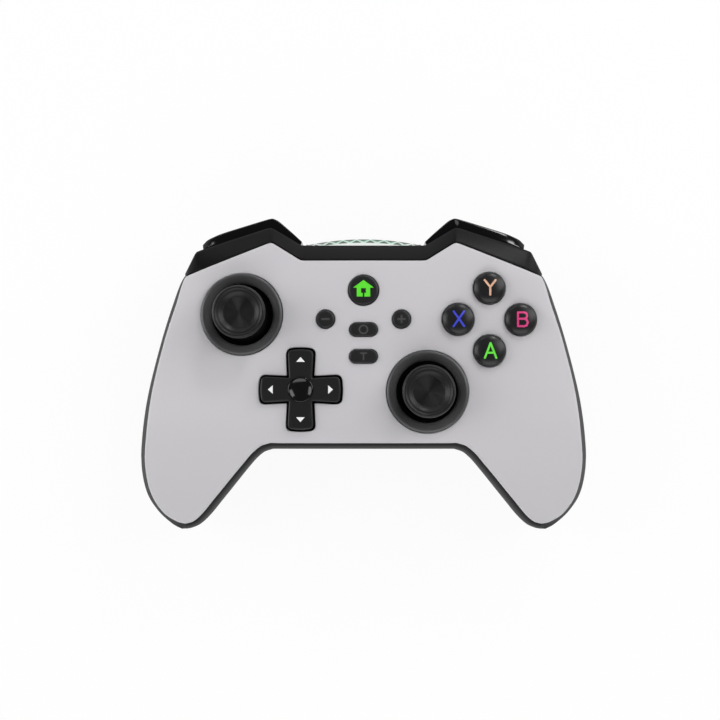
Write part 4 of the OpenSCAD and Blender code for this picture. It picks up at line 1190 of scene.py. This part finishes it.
class GAMEPAD_OT_sticks(bpy.types.Operator):
    """Conical bezels and thumb caps with a raised rim and a spun centre"""

    bl_idname = "gamepad.sticks"
    bl_label = "Sticks"

    def execute(self, context):
        colours = context.scene.gamepad_colours
        ring_finish = finish("ring_satin", colours.ring)
        cap_finish = finish("cap_rubber", colours.cap)
        disc_finish = spun("cap_spun_disc", colours.cap)
        h, r = CAP_RISE, CAP_R
        cap = soft([
            (0, h - 1.9), (5.2, h - 1.9), (5.5, h - 1.6), (6.5, h - 1), (7.1, h - 0.3), (7.6, h),
            (r - 0.5, h - 0.1), (r - 0.1, h - 0.6), (r, h - 1.4), (r - 0.1, h - 3), (r - 1, h - 4.1),
            (4.6, h - 5.4), (3.6, h - 8), (3.4, DOME_R + 0.2),
        ], 0.3)
        cap += arc(DOME_R, 70, DOME_END, 20) + arc(DOME_R - DOME_SKIN, DOME_END, 66, 16)
        cap += [(1.95, 8.4), (1.95, h - 6), (0, h - 6)]
        disc = soft([(0, h - 2), (5.1, h - 2), (5.1, h - 1.84), (4.95, h - 1.78), (0, h - 1.82)], 0.05)
        for side, centre in STICKS.items():
            low, high = (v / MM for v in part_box(side + "_stick_ring"))
            lip, top, flange = low.z + 0.9, high.z - 1.3, (high.x - low.x) / 2
            ring = soft([
                (RING_HOLE_R, low.z), (flange, low.z), (flange, lip), (RING_R, lip), (RING_R, top + 0.75),
                (RING_R - 0.25, top + 1.1), (RING_R - 0.9, top + 1.3), (RING_HOLE_R + 1.4, top + 0.95),
                (RING_HOLE_R + 0.6, top + 0.3), (RING_HOLE_R + 0.1, top - 0.6), (RING_HOLE_R, top - 1.2),
            ], 0.22)
            node, body = side + "_stick_ring", side + "_stick"
            ring = turned(ring + ring[:1], centre, STICK_SIDES)
            make_piece(node, ring, ring_finish, "housing", [node])
            node = body + "_cap"
            raised = [(a, PIVOT_Z + z) for a, z in cap]
            make_piece(node, turned(raised, centre, STICK_SIDES), cap_finish, body, [node])
            raised = [(a, PIVOT_Z + z) for a, z in disc]
            make_piece(body + "_disc", turned(raised, centre, STICK_SIDES), disc_finish, body)
        return {"FINISHED"}


class GAMEPAD_OT_direction_pad(bpy.types.Operator):
    """Flared cross with bevelled edges, white arrows and a dished gloss disc"""

    bl_idname = "gamepad.direction_pad"
    bl_label = "Direction pad"

    def execute(self, context):
        sizes, colours = context.scene.gamepad_sizes, context.scene.gamepad_colours
        z = face_height(DPAD)
        low = node_low("dpad_cross")
        seat = low + 0.8

        def top(p, lift=0):
            return at(p, z + CROSS_RISE + lift - 0.12 * max(0, 1 - ((p - DPAD).length / 12) ** 2))

        shape = Shape()
        outline = cross_outline(0, 1.7)
        rows = [[at(p, seat) for p in outline]]
        for g in steps(math.pi / 2, 0, 5):
            drop = 0.55 * (1 - math.cos(g))
            rows.append([top(p, -drop) for p in inset(outline, CROSS_EDGE * (1 - math.sin(g)))])
        shape.rows(rows)
        pocket, floor = circle(DPAD, POCKET_R, 64), z + 0.2
        shape.sheet([inset(outline, CROSS_EDGE)], [pocket], top, 1.4)
        shape.rows([[top(p) for p in pocket], [at(p, floor) for p in pocket]])
        shape.flat([pocket], [], floor, 2)
        flange = circle(DPAD, 14.4, 96)
        shape.flat([flange], [outline], seat, 3)
        shape.wall(flange, seat, low)
        shape.flat([flange], [], low, 4)
        satin = finish("cross_satin", colours.cross)
        make_piece("dpad_cross", shape, satin, "dpad", ["dpad_cross"])
        gloss = finish("disc_polish", colours.gloss)
        r = DISC_R
        curve = soft([(0, floor), (r, floor), (r, z + 1.35), (r - 0.3, z + 1.5), (r - 0.6, z + 1.42)], 0.2)
        dish = [(x, z + 0.7 + 0.7 * (x / (r - 0.65)) ** 2) for x in steps(r - 0.65, 0, 12)]
        make_piece("dpad_disc", turned(curve + dish, DPAD), gloss, "dpad", ["dpad_disc"])
        white = finish("arrow_ink", colours.arrow)
        loops = []
        for q in range(4):
            turn = Matrix.Rotation(math.pi / 2 * q, 2)
            loops.append(fine([turn @ Vector(p) + DPAD for p in ((9, -1.4), (10.6, 0), (9, 1.4))], 0.5))
        arrows = inlay(loops, [], top, sizes.mark_lift / MM, MARK_DEPTH, MARK_SPACING)
        make_piece("dpad_arrows", arrows, white, "dpad")
        return {"FINISHED"}


class GAMEPAD_OT_face_buttons(bpy.types.Operator):
    """Four domed buttons with a coloured letter each"""

    bl_idname = "gamepad.face_buttons"
    bl_label = "Face buttons"

    def execute(self, context):
        sizes, colours = context.scene.gamepad_sizes, context.scene.gamepad_colours
        satin = finish("button_satin", colours.button)
        r = ACTION_R
        for key, centre in ACTION_BUTTONS.items():
            node = "button_" + key
            z = face_height(centre)
            low, flange = node_low(node), z - FLANGE_DROP

            def dome(d):
                return z + ACTION_RISE + ACTION_CROWN * math.sqrt(max(0, 1 - (d / r) ** ACTION_POWER))

            def place(p, lift):
                return Vector((p.x, p.y, dome((p - centre).length) + lift))

            profile = soft([
                (0, low), (2.4, low), (2.4, flange - 1.2), (r + 1, flange - 1.2), (r + 1, flange),
                (r, flange),
            ], 0.1)
            profile += [(r * math.cos(g), dome(r * math.cos(g))) for g in steps(0, math.pi / 2, 24)]
            make_piece(node, turned(profile, centre), satin, node, [node])
            loops = []
            for path in LETTERS[key]:
                loops += stroke([Vector(p) + centre for p in path], sizes.letter_stroke / MM)
            ink = finish("letter_ink", getattr(colours, "letter_" + key), "_" + key)
            letter = inlay(loops, [], place, sizes.mark_lift / MM, MARK_DEPTH, MARK_SPACING)
            make_piece("letter_" + key, letter, ink, node)
        return {"FINISHED"}


class GAMEPAD_OT_small_buttons(bpy.types.Operator):
    """Home, minus, plus and the two pill-shaped buttons with their marks"""

    bl_idname = "gamepad.small_buttons"
    bl_label = "Small buttons"

    def execute(self, context):
        sizes, colours = context.scene.gamepad_sizes, context.scene.gamepad_colours
        satin = finish("small_button_satin", colours.button)
        grey = finish("small_mark_ink", colours.small_mark)
        # The home mark's green is painted glow of its lit icon
        green = finish("home_mark_ink", colours.home_mark)
        lift, line = sizes.mark_lift / MM, sizes.small_stroke / MM
        self.round_button("home_button", HOME_R, FLANGE_DROP, 0.6, satin)
        for node in ("minus_button", "plus_button"):
            self.round_button(node, MENU_R, WALL + GUIDE, 0.8, satin)
        for node in ("capture_button", "turbo_button"):
            self.pill_button(node, satin)

        def mark(name, node, rise, loops, holes, ink):
            centre = node_centre(node)
            z = face_height(centre) + rise
            loops, holes = ([[Vector(p) + centre for p in l] for l in group] for group in (loops, holes))
            shape = inlay(loops, holes, lambda p, up: free(p, z + up), lift, 0.25, 0.8)
            make_piece(name, shape, ink, node)

        roof = [(0, 3.3), (-3.4, 0.78), (3.4, 0.78)]
        door = [(-0.8, -0.95), (-0.27, -0.95), (-0.27, -2.3), (0.27, -2.3), (0.27, -0.95), (0.8, -0.95)]
        door += [(0.8, 0.6), (-0.8, 0.6)]
        mark("home_mark", "home_button", 0.75, [roof, rectangle((-2.2, -2.15), (2.2, 0.95))], [door], green)
        bar = stroke([(-1.12, 0), (1.12, 0)], line * 1.2)
        upright = stroke([(0, -1.12), (0, 1.12)], line * 1.2)
        mark("minus_mark", "minus_button", 0.95, bar, [], grey)
        mark("plus_mark", "plus_button", 0.95, bar + upright, [], grey)
        outer, inner = (circle((0, 0), r, 40) for r in (1.57, 1.57 - line))
        mark("capture_mark", "capture_button", 0.8, [outer], [inner], grey)
        letter = stroke([(-0.95, 1.05), (0.95, 1.05)], line) + stroke([(0, 1.05), (0, -1.05)], line)
        mark("turbo_mark", "turbo_button", 0.8, letter, [], grey)
        return {"FINISHED"}

    @staticmethod
    def round_button(node, r, drop, rise, satin):
        """Round button with a soft edge and a flat top over its switch."""
        centre = node_centre(node)
        z = face_height(centre)
        low, flange = node_low(node), z - drop
        profile = soft([
            (0, low), (1.5, low), (1.5, flange - 1), (r + 0.9, flange - 1), (r + 0.9, flange), (r, flange),
        ], 0.1)
        top = z + rise
        profile += soft([(r, flange + 0.1), (r, top - 0.35), (r - 0.5, top + 0.12), (0, top + 0.15)], 0.6, 6)
        make_piece(node, turned(profile, centre), satin, node, [node])

    @staticmethod
    def pill_button(node, satin):
        """Pill-shaped button with a soft edge."""
        centre = node_centre(node)
        z = face_height(centre)
        low, flange = node_low(node), z - WALL - GUIDE
        outline = pill(centre, PILL_L, PILL_W)
        wide = pill(centre, PILL_L + 1.6, PILL_W + 1.6)
        stem = circle(centre, 1.5, 32)
        shape = Shape()
        rows = [[at(p, flange) for p in outline]]
        for g in steps(0, math.pi / 2, 5):
            loop = inset(outline, PILL_EDGE * (1 - math.cos(g)))
            rows.append([at(p, z + 0.3 + PILL_EDGE * math.sin(g)) for p in loop])
        shape.rows(rows)
        shape.flat([inset(outline, PILL_EDGE)], [], z + 0.8, 1.2)
        shape.flat([wide], [outline], flange, 2)
        shape.wall(wide, flange, flange - 1)
        shape.flat([wide], [stem], flange - 1, 2)
        shape.wall(stem, flange - 1, low)
        shape.flat([stem], [], low, 2)
        make_piece(node, shape, satin, node, [node])


class GAMEPAD_OT_membranes(bpy.types.Operator):
    """Rubber sheets on the board, with a dome under each contact that goes down with its button"""

    bl_idname = "gamepad.membranes"
    bl_label = "Membranes"

    def execute(self, context):
        rubber = finish("silicone", (0.2, 0.2, 0.21))
        low, high = node_low("action_membrane"), node_top("action_membrane")
        contacts = list(ACTION_BUTTONS.values())
        middle = sum(contacts, Vector((0, 0))) / len(contacts)
        reach = (ACTION_BUTTONS["b"] - middle).length
        arms = []
        for q in range(4):
            turn = Matrix.Rotation(math.pi / 2 * q, 2)
            end = [Vector((DOME_FOOT, -DOME_FOOT))]
            end += [Vector((reach + x, y)) for x, y in arc(DOME_FOOT, -90, 90, 16)]
            arms += [turn @ p + middle for p in end]
        self.rubber_sheet("action_membrane", arms, [], contacts, low, rubber)
        for key, contact in ACTION_BUTTONS.items():
            self.domes("dome_" + key, [contact], 2.4, low + 1.9, high, rubber, "button_" + key)
        c = PAD_CONTACT
        contacts = [DPAD + Vector(p) for p in ((c, 0), (0, c), (-c, 0), (0, -c))]
        outline, opening = circle(DPAD, 13.6, 96), circle(DPAD, 4, 48)
        self.rubber_sheet("dpad_membrane", outline, [opening], contacts, low, rubber)
        self.domes("dpad_domes", contacts, 2.1, low + 0.9, high, rubber, "dpad_rocker")
        return {"FINISHED"}

    @staticmethod
    def rubber_sheet(name, outline, openings, contacts, low, rubber):
        """Flat sheet with a collar round each dome."""
        wells = [circle(p, DOME_WELL, DOME_SIDES) for p in contacts]
        collars = [circle(p, DOME_FOOT - 0.2, DOME_SIDES) for p in contacts]
        top = low + SHEET
        shape = Shape()
        for loop in [outline, *openings]:
            shape.wall(loop, low, top)
        for well, collar in zip(wells, collars):
            lip, height = inset(collar, COLLAR_SLOPE), top + COLLAR
            rim = ((collar, top), (lip, height), (well, height), (well, low))
            shape.rows([[at(p, z) for p in loop] for loop, z in rim])
        shape.flat([outline], collars + openings, top, 2.5)
        shape.flat([outline], wells + openings, low, 2.5)
        make_piece(name, shape, rubber, "housing", [name])

    @staticmethod
    def domes(name, contacts, r, low, high, rubber, body):
        """Rubber domes that ride on what presses them."""
        shape = Shape()
        profile = soft([(0, low), (r, low), (r, high - 0.4), (r - 0.5, high), (0, high)], 0.2)
        for contact in contacts:
            dome = turned(profile, contact, DOME_SIDES)
            shape.add(dome.verts, dome.faces)
        make_piece(name, shape, rubber, body)


class GAMEPAD_OT_inner_parts(bpy.types.Operator):
    """Finishes for the parts inside the housing, the screws and the socket"""

    bl_idname = "gamepad.inner_parts"
    bl_label = "Inner parts"

    def execute(self, context):
        steel = finish("brushed_steel", (0.5, 0.5, 0.51), Metallic=1.0)
        finishes = dict.fromkeys(("pin", "spring", "socket", "motor", "weight"), steel)
        finishes |= {
            "screws": finish("black_zinc", (0.03, 0.03, 0.032), Metallic=1.0),
            "board": finish("solder_mask", (0.012, 0.1, 0.05)),
            "battery": finish("battery_wrap", (0.25, 0.26, 0.3)),
        }
        moulding = finish("inner_moulding", (0.04, 0.04, 0.042))
        for name, node in frame["nodes"].items():
            if not node.hide_render:
                node.data.materials.clear()
                node.data.materials.append(finishes.get(name.split("_")[-1], moulding))
        return {"FINISHED"}


class GAMEPAD_OT_stage(bpy.types.Operator):
    """White floor, soft studio light and the camera above the face"""

    bl_idname = "gamepad.stage"
    bl_label = "Stage"

    def execute(self, context):
        scene = context.scene
        scene.view_settings.view_transform = "Standard"
        mesh = bpy.data.meshes.new("floor")
        corners = rectangle((-FLOOR_HALF, -FLOOR_HALF), (FLOOR_HALF, FLOOR_HALF))
        mesh.from_pydata([free(p, CAD_BOX[0].z) for p in corners], [], [(0, 1, 2, 3)])
        floor = bpy.data.objects.new("floor", mesh)
        scene.collection.objects.link(floor)
        mesh.materials.append(self.floor_paper())
        world = bpy.data.worlds.new("studio")
        scene.world = world
        world.use_nodes = True
        back = world.node_tree.nodes["Background"]
        back.inputs["Color"].default_value = (1, 1, 1, 1)
        self.horizon(world, back)
        for name, (place, width, height, power) in LAMPS.items():
            light = bpy.data.lights.new(name, "AREA")
            light.shape = "RECTANGLE"
            light.size, light.size_y = width, height
            light.energy = power
            lamp = bpy.data.objects.new(name, light)
            scene.collection.objects.link(lamp)
            lamp.location = place
            lamp.rotation_euler = (LAMP_AIM - Vector(place)).to_track_quat("-Z", "Y").to_euler()
        camera = bpy.data.cameras.new("camera")
        camera.sensor_width = SENSOR
        camera.lens = SENSOR * FOCAL_PX / IMAGE_PX
        eye = bpy.data.objects.new("camera", camera)
        scene.collection.objects.link(eye)
        eye.location = EYE
        eye.rotation_euler = (math.atan(TILT_PX / FOCAL_PX), math.atan(ROLL_PX / FOCAL_PX), 0)
        scene.camera = eye
        return {"FINISHED"}

    @staticmethod
    def horizon(world, back):
        """White near the horizon, as the floor, and dim overhead."""
        tree = world.node_tree
        place, split = add_node(tree, "TexCoord"), add_node(tree, "SeparateXYZ")
        fade = add_node(tree, "MapRange", **HORIZON)
        wire(
            tree, (place, "Generated", split, "Vector"), (split, "Z", fade, "Value"),
            (fade, "Result", back, "Strength"),
        )

    @staticmethod
    def floor_paper():
        """White paper that stays white to the camera and keeps the shadow."""
        material = bpy.data.materials.new("floor_paper")
        material.use_nodes = True
        tree = material.node_tree
        shader = tree.nodes["Principled BSDF"]
        shader.inputs["Base Color"].default_value = (PAPER, PAPER, PAPER, 1)
        shader.inputs["Roughness"].default_value = 0.9
        glow, rays, mix = (add_node(tree, kind) for kind in ("Emission", "LightPath", "MixShader"))
        seen, seen_more = add_node(tree, "Math", "MAXIMUM"), add_node(tree, "Math", "MAXIMUM")
        share = add_node(tree, "Math", "MULTIPLY")
        share.inputs[1].default_value = PAPER_WHITE
        wire(
            tree, (rays, "Is Camera Ray", seen, 0), (rays, "Is Glossy Ray", seen, 1),
            (seen, 0, seen_more, 0), (rays, "Is Transmission Ray", seen_more, 1),
            (seen_more, 0, share, 0), (share, 0, mix, "Fac"), (shader, "BSDF", mix, 1),
            (glow, "Emission", mix, 2), (mix, "Shader", tree.nodes["Material Output"], "Surface"),
        )
        return material


class GAMEPAD_PT_panel(bpy.types.Panel):
    """Sidebar list of the pieces that can be built"""

    bl_label = "Gamepad"
    bl_idname = "GAMEPAD_PT_panel"
    bl_space_type = "VIEW_3D"
    bl_region_type = "UI"
    bl_category = "Gamepad"

    def draw(self, context):
        for operator in OPERATORS:
            self.layout.operator(operator.bl_idname)
        for group in (context.scene.gamepad_sizes, context.scene.gamepad_colours):
            for name in group.__annotations__:
                self.layout.prop(group, name)


OPERATORS = [
    GAMEPAD_OT_stage, GAMEPAD_OT_faceplate, GAMEPAD_OT_rear_housing, GAMEPAD_OT_top_edge, GAMEPAD_OT_bumpers,
    GAMEPAD_OT_triggers, GAMEPAD_OT_sticks, GAMEPAD_OT_direction_pad, GAMEPAD_OT_face_buttons,
    GAMEPAD_OT_small_buttons, GAMEPAD_OT_membranes, GAMEPAD_OT_inner_parts,
]
CLASSES = [GamepadSizes, GamepadColours, *OPERATORS, GAMEPAD_PT_panel]


def register():
    """Registers the classes and hangs the settings on the scene."""
    for cls in CLASSES:
        bpy.utils.register_class(cls)
    bpy.types.Scene.gamepad_sizes = PointerProperty(type=GamepadSizes)
    bpy.types.Scene.gamepad_colours = PointerProperty(type=GamepadColours)


def unregister():
    """Takes the settings off the scene and unregisters the classes."""
    del bpy.types.Scene.gamepad_colours
    del bpy.types.Scene.gamepad_sizes
    for cls in reversed(CLASSES):
        bpy.utils.unregister_class(cls)


def main():
    """Builds everything in order."""
    register()
    bpy.ops.gamepad.stage()
    bpy.ops.gamepad.faceplate()
    bpy.ops.gamepad.rear_housing()
    bpy.ops.gamepad.top_edge()
    bpy.ops.gamepad.bumpers()
    bpy.ops.gamepad.triggers()
    bpy.ops.gamepad.sticks()
    bpy.ops.gamepad.direction_pad()
    bpy.ops.gamepad.face_buttons()
    bpy.ops.gamepad.small_buttons()
    bpy.ops.gamepad.membranes()
    bpy.ops.gamepad.inner_parts()


if __name__ == "__main__":
    main()
